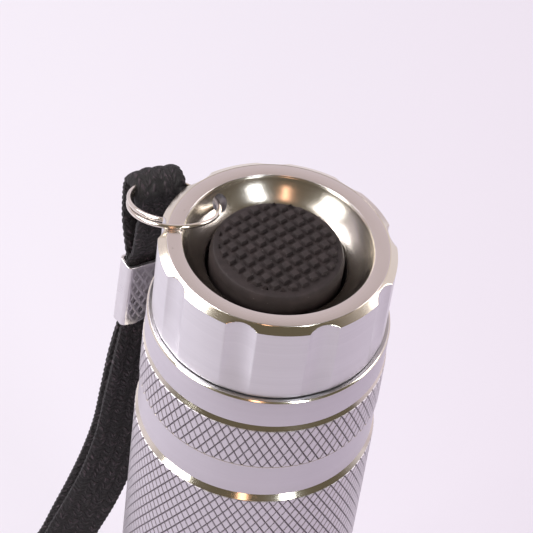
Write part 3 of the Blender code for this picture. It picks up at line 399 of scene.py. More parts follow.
@dataclass(frozen=True)
class Wire:
    """Drawn and plated wire, with long soft streaks."""

    colour: Colour
    roughness: float

    def material(self, name: str) -> bpy.types.Material:
        """Make the material.

        Args:
            name: The material's name.

        Returns:
            The material.
        """
        s = Shader.named(name)
        place = s.coordinates()
        stain = s.noise(place, 0.8, 3.0)
        scratch = s.noise(place, 12.0, 2.0, 0.8)
        colour = s.mix(stain.step(0.45, 0.75) * 0.5, self.colour, tuple(c * 0.72 for c in self.colour))
        rough = (self.roughness + scratch.about(0.12)).clamped()
        return s.finish(colour, rough, 1.0, s.bump(scratch, 0.004))


@dataclass(frozen=True)
class Braid:
    """Flat braided nylon: yarns that cross in V rows, read along the strap's own UV map in millimetres, with painted
    highlights on the yarns' tops and painted glints.
    """

    colour: Colour
    painted_sheen: Colour
    yarn: float = 0.9
    ribs: float = 4.0
    width: float = 6.0

    def material(self, name: str) -> bpy.types.Material:
        """Make the material.

        Args:
            name: The material's name.

        Returns:
            The material.
        """
        s = Shader.named(name)
        u, v, _ = s.split(s.uv())
        flat = s.joined(u, v)
        wobble = s.noise(flat, 0.9, 2.0).about(1.3)
        across = (u * (self.ribs / self.width)).ridges()
        slant = v / self.yarn + across * 0.75 + wobble
        yarn = abs((slant * math.pi).sin())
        pebble = 1.0 - s.specks(s.joined(u * 1.7, slant * 1.5), 1.0).step(0.08, 0.62)
        fibre = s.noise(s.joined(u * 6.0, v * 4.0 + across * 4.0), 1.0, 3.0, 0.75)
        seam = across.step(0.72, 1.0)
        height = (yarn * 0.3 + pebble * 0.6 + fibre.about(0.5)) * (1.0 - seam * 0.5)
        # Painted light: yarn tops are painted towards the sheen colour as highlight, and the seams are kept darker as
        # painted shade.
        light = height.step(0.3, 0.95) * (0.3 + fibre * 0.7) * (1.0 - seam * 0.6)
        colour = s.mix(light, self.colour, self.painted_sheen)
        # Painted glints: small bright specks painted on the yarns' tops.
        painted_glint = s.noise(s.joined(u * 3.0, v * 1.9 + across * 2.6), 1.0, 2.0, 0.6).step(0.56, 0.7) * height
        colour = s.mix(painted_glint * 0.7, colour, tuple(c * 2.6 for c in self.painted_sheen))
        rough = (0.66 - painted_glint * 0.25 + fibre.about(0.25)).clamped()
        return s.finish(colour, rough, 0.0, s.bump(height, 0.34), Specular_IOR_Level=0.5)


@dataclass(frozen=True)
class CrimpMetal:
    """Pressed plated sheet with criss-cross lines pressed into its broad faces, whose dents carry painted shade and
    whose lines carry painted highlights.
    """

    colour: Colour
    roughness: float = 0.3

    def material(self, name: str) -> bpy.types.Material:
        """Make the material.

        Args:
            name: The material's name.

        Returns:
            The material.
        """
        s = Shader.named(name)
        place = s.coordinates()
        u, v, _ = s.split(s.uv())
        face = s.attribute("pressed")
        first = ((u * 1.7 + v) / 1.9).ridges()
        second = ((u * 1.7 - v) / 1.9).ridges()
        lines = first.step(0.45, 1.0).most(second.step(0.6, 1.0) * 0.6) * face
        stain = s.noise(place, 0.5, 3.0)
        scratch = s.noise(s.joined(u * 5.0, v * 0.6), 1.0, 3.0, 0.7)
        # Painted light: the dented broad faces are painted darker as shade, and their pressed lines are painted lighter
        # as highlights.
        tone = 1.0 + lines * 0.1 - face * 0.16 + stain.about(0.16) + scratch.about(0.1)
        colour = s.toned(self.colour, tone)
        rough = (self.roughness + lines * 0.12 + stain.about(0.14) + scratch.about(0.1)).clamped()
        return s.finish(colour, rough, 1.0, s.bump(lines + scratch * 0.1, 0.05))


@dataclass(frozen=True)
class Moulded:
    """Moulded plastic or a coated board, with a faint skin texture."""

    colour: Colour
    roughness: float
    speckle: float = 0.08
    coat: float = 0.0

    def material(self, name: str) -> bpy.types.Material:
        """Make the material.

        Args:
            name: The material's name.

        Returns:
            The material.
        """
        s = Shader.named(name)
        place = s.coordinates()
        cloud = s.noise(place, 0.5, 3.0)
        skin = s.noise(place, 11.0, 3.0, 0.7)
        tone = 1.0 + cloud.about(self.speckle * 2) + skin.about(self.speckle)
        colour = s.toned(self.colour, tone)
        rough = (self.roughness + skin.about(0.12) + cloud.about(0.06)).clamped()
        return s.finish(colour, rough, 0.0, s.bump(skin, 0.008), Coat_Weight=self.coat)


@dataclass(frozen=True)
class Glass:
    """Clear lens glass with a faint coating tint and dust towards its edge."""

    colour: Colour

    def material(self, name: str) -> bpy.types.Material:
        """Make the material.

        Args:
            name: The material's name.

        Returns:
            The material.
        """
        s = Shader.named(name)
        place = s.coordinates()
        x, y, _ = s.split(place)
        edge = (x * x + y * y).root().step(10.5, 13.9)
        dust = s.noise(place, 3.0, 4.0, 0.7).step(0.6, 0.8)
        colour = s.mix(edge * 0.3, self.colour, (0.70, 0.80, 0.82))
        rough = (0.02 + dust * edge * 0.12).clamped()
        return s.finish(colour, rough, 0.0, None, Transmission_Weight=1.0, IOR=1.5)


class Finish(Enum):
    """The finishes, in the order that a reader meets them on the light."""

    SIDE = TurnedMetal((0.72, 0.705, 0.735), 0.34, Lines.ROUND_THE_SIDE, streak=0.12, spread=0.6)
    TUBE = TurnedMetal((0.62, 0.59, 0.635), 0.38, Lines.ROUND_THE_SIDE, streak=0.07, spread=0.5)
    RIM = TurnedMetal((0.77, 0.72, 0.71), 0.24, Lines.ROUND_THE_FACE, pitch=0.2, depth=0.0008, streak=0.05)
    CHAMFER = TurnedMetal((0.86, 0.81, 0.69), 0.13, Lines.ROUND_THE_SIDE, pitch=0.08, depth=0.0007, streak=0.05)
    BOWL = TurnedMetal((0.72, 0.67, 0.60), 0.2, Lines.ROUND_THE_FACE, pitch=0.16, depth=0.0016, grain=0.22)
    MACHINED = TurnedMetal((0.55, 0.54, 0.56), 0.32, Lines.ROUND_THE_SIDE, streak=0.12)
    # The knurl's second colour is the painted shade of its grooves.
    KNURL = KnurledMetal((0.66, 0.63, 0.67), (0.30, 0.28, 0.30), 0.36)
    BUTTON = Rubber((0.0175, 0.0115, 0.012), dust=0.6)
    SEAL = Rubber((0.012, 0.012, 0.013), roughness=0.4, dust=0.1)
    RING = Wire((0.84, 0.78, 0.70), 0.14)
    SPRING = Wire((0.66, 0.63, 0.58), 0.22)
    # The braid's second colour is the painted sheen on its yarns' tops.
    BRAID = Braid((0.0035, 0.0022, 0.003), (0.066, 0.045, 0.058))
    CRIMP = CrimpMetal((0.72, 0.70, 0.72))
    HOUSING = Moulded((0.020, 0.020, 0.021), 0.42)
    BOARD = Moulded((0.03, 0.16, 0.07), 0.35, 0.15, 0.3)
    BOARD_WHITE = Moulded((0.78, 0.78, 0.76), 0.32, 0.05, 0.2)
    PHOSPHOR = Moulded((0.85, 0.72, 0.16), 0.25, 0.1, 0.6)
    WRAP = Moulded((0.10, 0.22, 0.30), 0.3, 0.06, 0.3)
    BRASS = TurnedMetal((0.78, 0.57, 0.25), 0.26, Lines.ROUND_THE_SIDE, streak=0.1)
    MIRROR = TurnedMetal((0.90, 0.90, 0.91), 0.04, Lines.ROUND_THE_SIDE, pitch=0.5, depth=0.0001, streak=0.01)
    LENS = Glass((0.93, 0.97, 0.97))


class Paints:
    """Makes each finish's material once."""

    made: dict[Finish, bpy.types.Material] = {}

    @classmethod
    def get(cls, finish: Finish) -> bpy.types.Material:
        """The finish's material."""
        if finish not in cls.made:
            cls.made[finish] = finish.value.material(finish.name.lower())
        return cls.made[finish]


Zone = Callable[[Vector, Vector], int]


def unit(value: float) -> float:
    """Keep a value between 0 and 1."""
    return min(1.0, max(0.0, value))


def smooth(share: float) -> float:
    """Let a share from 0 to 1 start and end slowly."""
    return share * share * (3 - 2 * share)


def heading(degrees: float) -> Vector:
    """The level direction at an angle round the light's axis."""
    return Vector((math.cos(math.radians(degrees)), math.sin(math.radians(degrees)), 0.0))


def reach_of(vert: bmesh.types.BMVert | bpy.types.MeshVertex) -> float:
    """How far a mesh's point is from the light's axis, in millimetres."""
    return math.hypot(vert.co.x, vert.co.y) / MM


def push(vert: bmesh.types.BMVert, reach: float) -> None:
    """Move a mesh's point straight out or in, to a distance from the light's axis in millimetres."""
    share = reach / reach_of(vert)
    vert.co.x *= share
    vert.co.y *= share


def open_edges(bm: bmesh.types.BMesh) -> list[bmesh.types.BMEdge]:
    """The edges with one face."""
    return [e for e in bm.edges if e.is_boundary]


def made_verts(made: dict[str, Any]) -> list[bmesh.types.BMVert]:
    """The points that a bmesh operator made."""
    return [g for g in made["geom"] if isinstance(g, bmesh.types.BMVert)]


def face_outwards(bm: bmesh.types.BMesh) -> None:
    """Turn every face's normal outwards."""
    bmesh.ops.recalc_face_normals(bm, faces=bm.faces)


def linked(name: str, data: bpy.types.ID) -> bpy.types.Object:
    """Put a new object that shows the data into the scene."""
    made = bpy.data.objects.new(name, data)
    bpy.context.scene.collection.objects.link(made)
    return made


def to_object(name: str, bm: bmesh.types.BMesh, finishes: Sequence[Finish],
              sharp: float = SHARP_DEGREES) -> bpy.types.Object:
    """Turn a bmesh into a finished piece.

    Args:
        name: The piece's name.
        bm: Its mesh, which is freed.
        finishes: The finishes of its slots.
        sharp: The angle between faces, in degrees, past which an edge stays sharp.

    Returns:
        The piece.
    """
    mesh = bpy.data.meshes.new(name)
    bm.to_mesh(mesh)
    bm.free()
    for finish in finishes:
        mesh.materials.append(Paints.get(finish))
    mesh.shade_smooth()
    mesh.set_sharp_from_angle(angle=math.radians(sharp))
    return linked(name, mesh)


def place_piece(piece: bpy.types.Object, body: str, slot: Slot, *nodes: str) -> bpy.types.Object:
    """Fix a piece to the model.

    Args:
        piece: The piece.
        body: The body that it rides on.
        slot: The record's slot for the piece; not used.
        nodes: The model's nodes that it stands for.

    Returns:
        The piece.
    """
    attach(piece, body)
    if nodes:
        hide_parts(*nodes)
    LOG.info("%s: %d faces", piece.name, len(piece.data.polygons) if piece.type == "MESH" else 0)
    return piece


def eased(profile: Sequence[Pair], radius: float, closed: bool = True) -> list[Pair]:
    """Round a profile's corners.

    Args:
        profile: (radius, height) pairs.
        radius: How far from a corner its rounding starts, at most.
        closed: The last point joins the first.

    Returns:
        The rounded profile.
    """
    points = [Vector(p) for p in profile]
    count = len(points)
    made: list[Pair] = []
    for i, here in enumerate(points):
        before, after = points[i - 1], points[(i + 1) % count]
        ends = not closed and i in (0, count - 1)
        back, ahead = before - here, after - here
        if ends or back.length < 1e-6 or ahead.length < 1e-6 or abs(math.pi - back.angle(ahead)) < math.radians(14):
            made.append(tuple(here))
            continue
        start = here + back.normalized() * min(radius, back.length * 0.4)
        end = here + ahead.normalized() * min(radius, ahead.length * 0.4)
        for share in (0.0, 1 / 3, 2 / 3, 1.0):
            made.append(tuple(start.lerp(here, share).lerp(here.lerp(end, share), share)))
    return made


def rows(first: Pair, last: Pair, count: int) -> list[Pair]:
    """Points from the first to the last, without the last itself."""
    return [tuple(a + (b - a) * i / count for a, b in zip(first, last)) for i in range(count)]


def turn(profile: Sequence[Pair], steps: int, closed: bool = True) -> bmesh.types.BMesh:
    """Spin a profile round the light's axis.

    Args:
        profile: (radius, height) pairs in millimetres.
        steps: How many steps make a full turn.
        closed: The last point joins the first; otherwise both lie on the axis.

    Returns:
        The mesh, in metres.
    """
    bm = bmesh.new()
    verts = [bm.verts.new((radius * MM, 0.0, height * MM)) for radius, height in profile]
    edges = [bm.edges.new(pair) for pair in zip(verts, verts[1:])]
    if closed:
        edges.append(bm.edges.new((verts[-1], verts[0])))
    bmesh.ops.spin(
        bm, geom=[*verts, *edges], cent=(0, 0, 0), axis=(0, 0, 1), dvec=(0, 0, 0), angle=math.tau, steps=steps,
        use_merge=True, use_normal_flip=False, use_duplicate=False, space=Matrix(),
    )
    bmesh.ops.remove_doubles(bm, verts=bm.verts, dist=1e-7)
    face_outwards(bm)
    return bm


def seal_groove(radius: float, floor: float, width: float, shoulder: float) -> list[Pair]:
    """The profile of a seal's groove, downwards from the shoulder above the land that it is cut in."""
    top = shoulder - SEAL_LAND
    return [(radius, shoulder), (radius, top), (floor, top), (floor, top - width), (radius, top - width)]


def zoned(bm: bmesh.types.BMesh, zone: Zone) -> None:
    """Give each face the slot that its place and normal ask for."""
    bm.normal_update()
    for face in bm.faces:
        face.material_index = zone(face.calc_center_median() / MM, face.normal)


def thread(bm: bmesh.types.BMesh, low: float, high: float, radius: float) -> None:
    """Press a screw thread into the rows of a turned surface.

    Args:
        bm: The mesh.
        low: Where the thread starts, in millimetres.
        high: Where it ends.
        radius: The surface's radius.
    """
    for vert in bm.verts:
        height = vert.co.z / MM
        if not low < height < high or abs(reach_of(vert) - radius) > 0.01:
            continue
        phase = (height / THREAD_PITCH - math.atan2(vert.co.y, vert.co.x) / math.tau) % 1.0
        wave = unit(2.2 * abs(phase - 0.5) - 0.12)
        fade = min(1.0, (height - low) / THREAD_PITCH, (high - height) / THREAD_PITCH)
        push(vert, radius - THREAD_DEPTH * (1.0 - wave) * fade)


@dataclass
class TailCap:
    """The fluted tail cap, with a polished dish, a slanting lanyard hole and a threaded nose."""

    rim: float = RIM
    radius: float = 13.0
    chamfer_width: float = 0.9
    chamfer_drop: float = 0.56
    bowl_radius: float = 10.45
    bowl_depth: float = 3.1
    bowl_sag: float = 0.35
    mouth: float = 7.75
    web: float = 1.0
    skirt: float = 10.2
    lip: float = 0.22
    nose_radius: float = 11.9
    nose: float = 10.2
    pocket: float = 9.6
    groove_floor: float = 10.96
    groove: float = 1.24
    flutes: int = 9
    columns: int = 24
    chamfer_rows: int = 22
    flute_rows: int = 8
    thread_rows: int = 50
    dish_rows: int = 24
    flute_soft: float = 0.07
    flute_width: float = 3.4
    flute_depth: float = 0.65
    flute_azimuth: float = 258.25
    flute_fade: float = 5.5
    hole_radius: float = 0.95
    hole_azimuth: float = 136.8
    hole_reach: float = 11.06
    hole_drop: float = 2.0
    hole_heading: float = 130.6
    hole_dip: float = 14.6
    drill_run: float = 9.0
    seal_radius: float = 11.58
    edge: float = 0.09

    STOPS = (0, 2, 4, 5.6, 6.5, 7.0, 7.35, 7.7, 8.2, 9.4, 12.5, 16.2, 20)

    def profile(self) -> list[Pair]:
        """The closed profile, down the outside and up the inside."""
        top, skirt = self.rim, self.rim - self.skirt
        end = skirt - self.nose
        lip = top - self.bowl_depth
        inner = self.radius - self.chamfer_width
        thread_low, thread_high = end + 0.4, skirt - SEAL_LAND - self.groove
        upper = eased([(self.bowl_radius, top - 0.5), (self.bowl_radius, top), (inner, top), (self.radius, top - 3)],
                      self.edge, closed=False)[1:-1]
        chamfer_end = (self.radius, top - self.chamfer_drop)
        outside = [*upper, *rows((inner + 0.1, top - 0.062), chamfer_end, self.chamfer_rows), chamfer_end,
                   (self.radius, top - self.chamfer_drop - 0.08)]
        body = [
            *rows((self.radius, top - self.chamfer_drop - 0.5), (self.radius, skirt + 0.3), self.flute_rows),
            (self.radius, skirt + 0.12), (self.radius, skirt - self.lip + 0.1),
            (self.radius - 0.03, skirt - self.lip + 0.02), (self.radius - 0.1, skirt - self.lip),
            (self.nose_radius + 0.4, skirt - self.lip), (self.nose_radius + 0.35, skirt),
            *seal_groove(self.nose_radius, self.groove_floor, self.groove, skirt),
        ]
        screw = rows((self.nose_radius, thread_high - 0.1), (self.nose_radius, thread_low), self.thread_rows)
        inside = [
            (self.nose_radius, thread_low), (self.nose_radius - 0.4, end), (self.pocket, end),
            (self.pocket, lip - self.web), (self.mouth, lip - self.web), (self.mouth, lip - 0.06),
            (self.mouth + 0.05, lip),
        ]
        return outside + body + screw + inside + self.dish()

    def dish(self) -> list[Pair]:
        """The dish, from the button's mouth up to the rim."""
        top, lip = self.rim, self.rim - self.bowl_depth
        run, rise = self.bowl_radius - self.mouth, self.bowl_depth
        length = math.hypot(run, rise)
        points = []
        for i in range(1, self.dish_rows):
            share = i / self.dish_rows
            bow = 4 * self.bowl_sag * share * (1 - share)
            points.append((self.mouth + run * share + bow * rise / length, lip + rise * share - bow * run / length))
        return [p for p in points if p[1] < top - 0.02]

    def flute_reach(self, angle: float) -> float:
        """How far out the flutes leave metal, at an angle from a flute's middle in radians."""
        half = self.flute_width / 2
        below = self.flute_depth - (self.radius - math.sqrt(self.radius**2 - half**2))
        cutter = (half**2 + below**2) / (2 * below)
        centre = self.radius - self.flute_depth + cutter
        side = centre * math.sin(angle)
        if abs(side) >= cutter or math.cos(angle) < 0:
            return self.radius + 1.0
        return centre * math.cos(angle) - math.sqrt(cutter**2 - side**2)

    def crowded(self, share: float) -> float:
        """Move evenly spaced angles so that many lie at the flutes' edges.

        Args:
            share: An angle from a flute's middle, as a share of the way to the next middle.

        Returns:
            The new share.
        """
        period = 360 / self.flutes
        stops = [stop / period for stop in self.STOPS]
        moved = float(np.interp(min(share, 1 - share), np.linspace(0, 0.5, len(stops)), stops))
        return moved if share <= 0.5 else 1 - moved

    def build(self) -> bpy.types.Object:
        """Make the cap.

        Returns:
            The piece.
        """
        bm = turn(self.profile(), self.flutes * self.columns)
        period = math.tau / self.flutes
        start = math.radians(self.flute_azimuth)
        for vert in bm.verts:
            reach = reach_of(vert)
            turns = math.atan2(vert.co.y, vert.co.x) / period
            whole = math.floor(turns + 1e-6)
            share = self.crowded(max(0.0, turns - whole))
            if vert.co.z / MM > self.rim - self.skirt - self.lip - 0.01 and reach > 12.0:
                limit = self.flute_reach((share if share < 0.5 else share - 1) * period)
                inside = unit(0.5 + 0.5 * (limit - reach) / self.flute_soft)
                cut = limit + (reach - limit) * inside - self.flute_soft * inside * (1 - inside)
                above = unit((vert.co.z / MM - self.rim + self.skirt) / self.flute_fade)
                reach += (cut - reach) * (0.1 + 0.9 * above * (2 - above))
            angle = start + (whole + share) * period
            vert.co.x, vert.co.y = reach * MM * math.cos(angle), reach * MM * math.sin(angle)
        end = self.rim - self.skirt - self.nose
        thread(bm, end + 0.35, self.rim - self.skirt - SEAL_LAND - self.groove, self.nose_radius)
        face_outwards(bm)
        zoned(bm, self.zone)
        finishes = (Finish.SIDE, Finish.RIM, Finish.CHAMFER, Finish.BOWL, Finish.MACHINED)
        cap = to_object("tail_cap_turned", bm, finishes)
        self.drill(cap)
        return place_piece(cap, "tail_cap", Slot.ALUMINIUM, "tail_cap")

    def zone(self, centre: Vector, normal: Vector) -> int:
        """The slot of a face: 0 side, 1 rim, 2 chamfer, 3 bowl, 4 machined."""
        reach = math.hypot(centre.x, centre.y)
        drop = self.rim - centre.z
        if drop < 0.03 and reach > self.bowl_radius - 0.1:
            return 1
        if reach > 12.0 and drop < self.chamfer_drop + 0.02 and normal.z > 0.4:
            return 2
        if drop < self.bowl_depth + 0.02 and reach < self.bowl_radius + 0.05:
            return 3
        return 0 if drop < self.skirt + self.lip - 0.02 and reach > 12.2 else 4

    def hole(self) -> tuple[Vector, Vector]:
        """The lanyard hole's middle, in millimetres, and its direction outwards."""
        dip = math.radians(self.hole_dip)
        middle = heading(self.hole_azimuth) * self.hole_reach + UP * (self.rim - self.hole_drop)
        return middle, heading(self.hole_heading) * math.cos(dip) - UP * math.sin(dip)

    def drill(self, cap: bpy.types.Object) -> None:
        """Drill the slanting lanyard hole."""
        middle, along = self.hole()
        cutter = bmesh.new()
        place = Matrix.Translation(middle * MM) @ along.to_track_quat("Z", "Y").to_matrix().to_4x4()
        radius = self.hole_radius * MM
        bmesh.ops.create_cone(cutter, cap_ends=True, segments=40, radius1=radius, radius2=radius,
                              depth=self.drill_run * MM, matrix=place)
        drill = to_object("drill", cutter, (Finish.MACHINED,))
        modifier = cap.modifiers.new("hole", "BOOLEAN")
        modifier.operation = "DIFFERENCE"
        modifier.solver = "EXACT"
        modifier.object = drill
        bpy.context.view_layer.update()
        drilled = bpy.data.meshes.new_from_object(cap.evaluated_get(bpy.context.evaluated_depsgraph_get()))
        cap.modifiers.clear()
        cap.data = drilled
        bpy.data.objects.remove(drill)
        drilled.set_sharp_from_angle(angle=math.radians(SHARP_DEGREES))

    def seal(self) -> bpy.types.Object:
        """Make the seal ring in its groove."""
        return seal_ring("tail_seal", self.seal_radius, self.rim - self.skirt)


def seal_ring(body: str, radius: float, shoulder: float) -> bpy.types.Object:
    """Make the rubber ring that seals a screwed joint.

    Args:
        body: The body and the node that it stands for.
        radius: The ring's radius to its wire's middle.
        shoulder: The height of the shoulder above its groove.

    Returns:
        The piece.
    """
    centre = Vector((radius, shoulder - SEAL_LAND - SEAL_PLAY - SEAL_WIRE / 2))
    section = [tuple(centre + heading(360 * i / SEAL_SIDES).xy * SEAL_WIRE / 2) for i in range(SEAL_SIDES)]
    ring = to_object(f"{body}_ring", turn(section, FINE_STEPS), (Finish.SEAL,))
    return place_piece(ring, body, Slot.RUBBER, body)


@dataclass
class Button:
    """The rubber button: a dome whose pad of raised squares leaves a plain edge."""

    rim: float = RIM
    radius: float = 7.35
    top_radius: float = 7.0
    crown: float = 0.62
    edge: float = 1.0
    shoulder: float = 2.0
    bottom: float = 4.9
    wall: float = 1.3
    thickness: float = 1.6
    pitch: float = 1.4
    cells: int = 13
    field: float = 6.72
    field_shift: float = 0.25
    gap: float = 0.2
    slope: float = 0.13
    rise: float = 0.44
    rounding: float = 0.12
    sunk: float = 0.35
    turned: float = 46.8

    def crown_height(self, reach: float) -> float:
        """The dome's height at a distance from the axis."""
        return self.rim - self.crown - (self.edge - self.crown) * (reach / self.top_radius) ** 2

    def build(self) -> None:
        """Make the button's body and its pad of squares."""
        top = self.rim
        inner = self.radius - self.wall
        ceiling = top - self.crown - self.thickness
        profile = [(reach, self.crown_height(reach)) for reach in np.linspace(0.0, 6.8, 9).tolist()]
        profile += [
            (6.92, self.crown_height(6.9) + 0.02), (7.04, top - self.edge - 0.02),
            (7.13, top - self.edge - 0.16), (7.2, top - self.edge - 0.4), (self.radius - 0.03, top - 1.7),
            (self.radius, top - self.shoulder), (self.radius, top - self.bottom), (inner, top - self.bottom),
            (inner, ceiling), (0.0, ceiling),
        ]
        body = to_object("button_body", turn(profile, FINE_STEPS, closed=False), (Finish.BUTTON,))
        place_piece(body, "button", Slot.RUBBER, "boot_button")
        place_piece(self.pad(), "button", Slot.RUBBER)

    def pad(self) -> bpy.types.Object:
        """Make the field of raised squares, closed underneath inside the body."""
        bm = bmesh.new()
        bmesh.ops.create_grid(bm, x_segments=self.cells, y_segments=self.cells, size=self.pitch * self.cells / 2 * MM,
                              matrix=Matrix.Rotation(math.radians(self.turned), 4, "Z"))
        outside = [f for f in bm.faces if f.calc_center_median().length / MM > self.field + 0.3]
        bmesh.ops.delete(bm, geom=outside, context="FACES")
        for vert in bm.verts:
            reach = vert.co.length / MM
            if reach > self.field:
                vert.co *= self.field / reach
        bmesh.ops.translate(bm, verts=bm.verts, vec=(0, self.field_shift * MM, 0))
        low = made_verts(bmesh.ops.extrude_edge_only(bm, edges=open_edges(bm)))
        tiles = [f for f in bm.faces if abs(f.normal.z) > 0.5]
        face_outwards(bm)
        for vert in bm.verts:
            vert.co.z = self.crown_height(reach_of(vert)) * MM
        bmesh.ops.translate(bm, verts=low, vec=(0, 0, -self.sunk * MM))
        bmesh.ops.contextual_create(bm, geom=open_edges(bm))
        face_outwards(bm)
        tiles = [f for f in tiles if f.calc_area() > 0.3 * (self.pitch * MM) ** 2]
        bmesh.ops.inset_individual(bm, faces=tiles, thickness=self.gap * MM, depth=0.0, use_even_offset=True)
        bmesh.ops.inset_individual(bm, faces=tiles, thickness=self.slope * MM, depth=self.rise * MM,
                                   use_even_offset=True)
        edges = list({e for f in tiles for e in f.edges})
        edges += list({e for f in tiles for v in f.verts for e in v.link_edges} - set(edges))
        bmesh.ops.bevel(bm, geom=edges, offset=self.rounding * MM, segments=3, profile=0.5, affect="EDGES", material=-1,
                        clamp_overlap=True)
        return to_object("button_squares", bm, (Finish.BUTTON,), 55)


@dataclass
class BatteryTube:
    """The body tube, with its bands, knurls, threads and bore."""

    rim: float = RIM
    top: float = 108.1
    shoulder: float = 44.3
    bottom: float = 31.3
    bore: float = 11.5
    socket: float = 12.2
    socket_low: float = 97.7
    band: float = 13.55
    knurl_radius: float = 13.7
    grip_radius: float = 13.85
    neck_radius: float = 13.4
    land_radius: float = 13.1
    male_radius: float = 12.6
    groove_floor: float = 12.16
    groove: float = 1.24
    diamond_width: float = 1.1
    diamond_height: float = 1.9
    knurl_depth: float = 0.17
    knurl_gap: float = 0.105
    knurl_bed: float = 0.12
    sleeve_wall: float = 0.5
    collar: float = 3.95
    knurl_run: float = 6.1
    band_run: float = 4.95
    grip_low: float = 5.4
    land_run: float = 3.8
    seal_radius: float = 12.78
    thread_rows: int = 66
    rounding: float = 0.07

    def levels(self) -> tuple[float, ...]:
        """The heights where the tube's bands meet, from its top down."""
        band_1 = self.top - self.collar
        knurl_top = band_1 - 0.2 - (self.knurl_radius - self.band + 0.4)
        knurl_end = knurl_top - self.knurl_run
        band_2 = knurl_end - self.band_run
        grip_top = band_2 - 0.2 - (self.grip_radius - self.band + 0.4)
        return band_1, knurl_top, knurl_end, band_2, grip_top, self.shoulder + self.grip_low

    def bed(self, radius: float, top: float, end: float) -> list[Pair]:
        """The profile that a knurled sleeve lies in, from its top down."""
        sunk = radius - self.knurl_depth - self.knurl_bed
        return [(radius - 0.02, top), (sunk, top - 0.02), (sunk, end + 0.02), (radius - 0.03, end)]

    def build(self) -> None:
        """Make the turned tube and the two knurled sleeves on it."""
        band_1, knurl_top, knurl_end, band_2, grip_top, grip_end = self.levels()
        land_low = self.shoulder - self.land_run
        outside = [
            (self.socket + 0.25, self.top), (self.band - 0.2, self.top), (self.band, self.top - 0.2),
            (self.band, band_1), (self.band - 0.33, band_1 - 0.14), *self.bed(self.knurl_radius, knurl_top, knurl_end),
            (self.band, knurl_end - 0.25), (self.band, band_2), (self.band - 0.4, band_2 - 0.2),
            *self.bed(self.grip_radius, grip_top, grip_end), (self.neck_radius, grip_end - 0.5),
            (self.neck_radius, self.shoulder),
            *seal_groove(self.land_radius, self.groove_floor, self.groove, self.shoulder),
            (self.land_radius, land_low), (self.male_radius, land_low), (self.male_radius, land_low - 0.1),
        ]
        profile = eased(outside, self.rounding, closed=False)
        profile += rows((self.male_radius, land_low - 0.2), (self.male_radius, self.bottom + 0.5), self.thread_rows)
        profile += eased([
            (self.male_radius, self.bottom + 0.5), (self.male_radius - 0.25, self.bottom), (self.bore, self.bottom),
            (self.bore, self.socket_low), (self.socket, self.socket_low), (self.socket, self.top - 0.3),
        ], self.rounding, closed=False)
        bm = turn(profile, TURNED_STEPS)
        thread(bm, self.bottom + 0.45, land_low - 0.15, self.male_radius)
        face_outwards(bm)
        zoned(bm, self.zone)
        tube = to_object("tube_turned", bm, (Finish.TUBE, Finish.CHAMFER, Finish.MACHINED))
        place_piece(tube, "battery_tube", Slot.ALUMINIUM, "body_tube")
        for name, radius, low, high in (
            ("collar_knurl", self.knurl_radius, knurl_end, knurl_top),
            ("grip_knurl", self.grip_radius, grip_end, grip_top),
        ):
            place_piece(self.knurl(name, radius, low, high), "battery_tube", Slot.ALUMINIUM)
        seal_ring("head_seal", self.seal_radius, self.shoulder)

    def zone(self, centre: Vector, normal: Vector) -> int:
        """The slot of a face: 0 satin, 1 polished step, 2 machined bore or thread."""
        reach = math.hypot(centre.x, centre.y)
        if centre.z < self.shoulder - 0.01 or reach < self.band - 0.55:
            return 2
        return int(abs(normal.z) > 0.35 and centre.z < self.top - 0.02)

    def knurl(self, name: str, radius: float, low: float, high: float) -> bpy.types.Object:
        """Make a sleeve of raised diamonds.

        Args:
            name: The piece's name.
            radius: The radius over the diamonds' tops.
            low: The height where the sleeve starts.
            high: The height where it ends.

        Returns:
            The piece.
        """
        count = round(math.tau * radius / self.diamond_width)
        tiers = round((high - low) / self.diamond_height)
        floor = radius - self.knurl_depth
        bm = bmesh.new()
        bmesh.ops.create_grid(bm, x_segments=count, y_segments=tiers, size=0.5)
        for vert in bm.verts:
            height = low + (vert.co.y + 0.5) * (high - low)
            vert.co = (heading((vert.co.x + 0.5) * 360) * floor + UP * height) * MM
        bmesh.ops.remove_doubles(bm, verts=bm.verts, dist=1e-6)
        squares = [e for e in bm.edges if not e.is_boundary]
        bmesh.ops.poke(bm, faces=list(bm.faces))
        for vert in bm.verts:
            push(vert, floor)
        bmesh.ops.dissolve_edges(bm, edges=squares, use_verts=False)
        diamonds = list(bm.faces)
        face_outwards(bm)
        if diamonds[0].normal.dot(diamonds[0].calc_center_median()) < 0:
            bmesh.ops.reverse_faces(bm, faces=diamonds)
        for vert in made_verts(bmesh.ops.extrude_edge_only(bm, edges=open_edges(bm))):
            push(vert, floor - self.sleeve_wall)
        bmesh.ops.bridge_loops(bm, edges=open_edges(bm))
        bmesh.ops.inset_individual(bm, faces=diamonds, thickness=self.knurl_gap * MM, depth=self.knurl_depth * MM,
                                   use_even_offset=True)
        face_outwards(bm)
        sleeve = to_object(name, bm, (Finish.KNURL,), 20)
        # How deep each point lies in the grooves, which the knurl's material turns into painted shade.
        groove = sleeve.data.attributes.new("groove", "FLOAT", "POINT")
        depths = [unit((radius - reach_of(v)) / self.knurl_depth) for v in sleeve.data.vertices]
        groove.data.foreach_set("value", depths)
        return sleeve


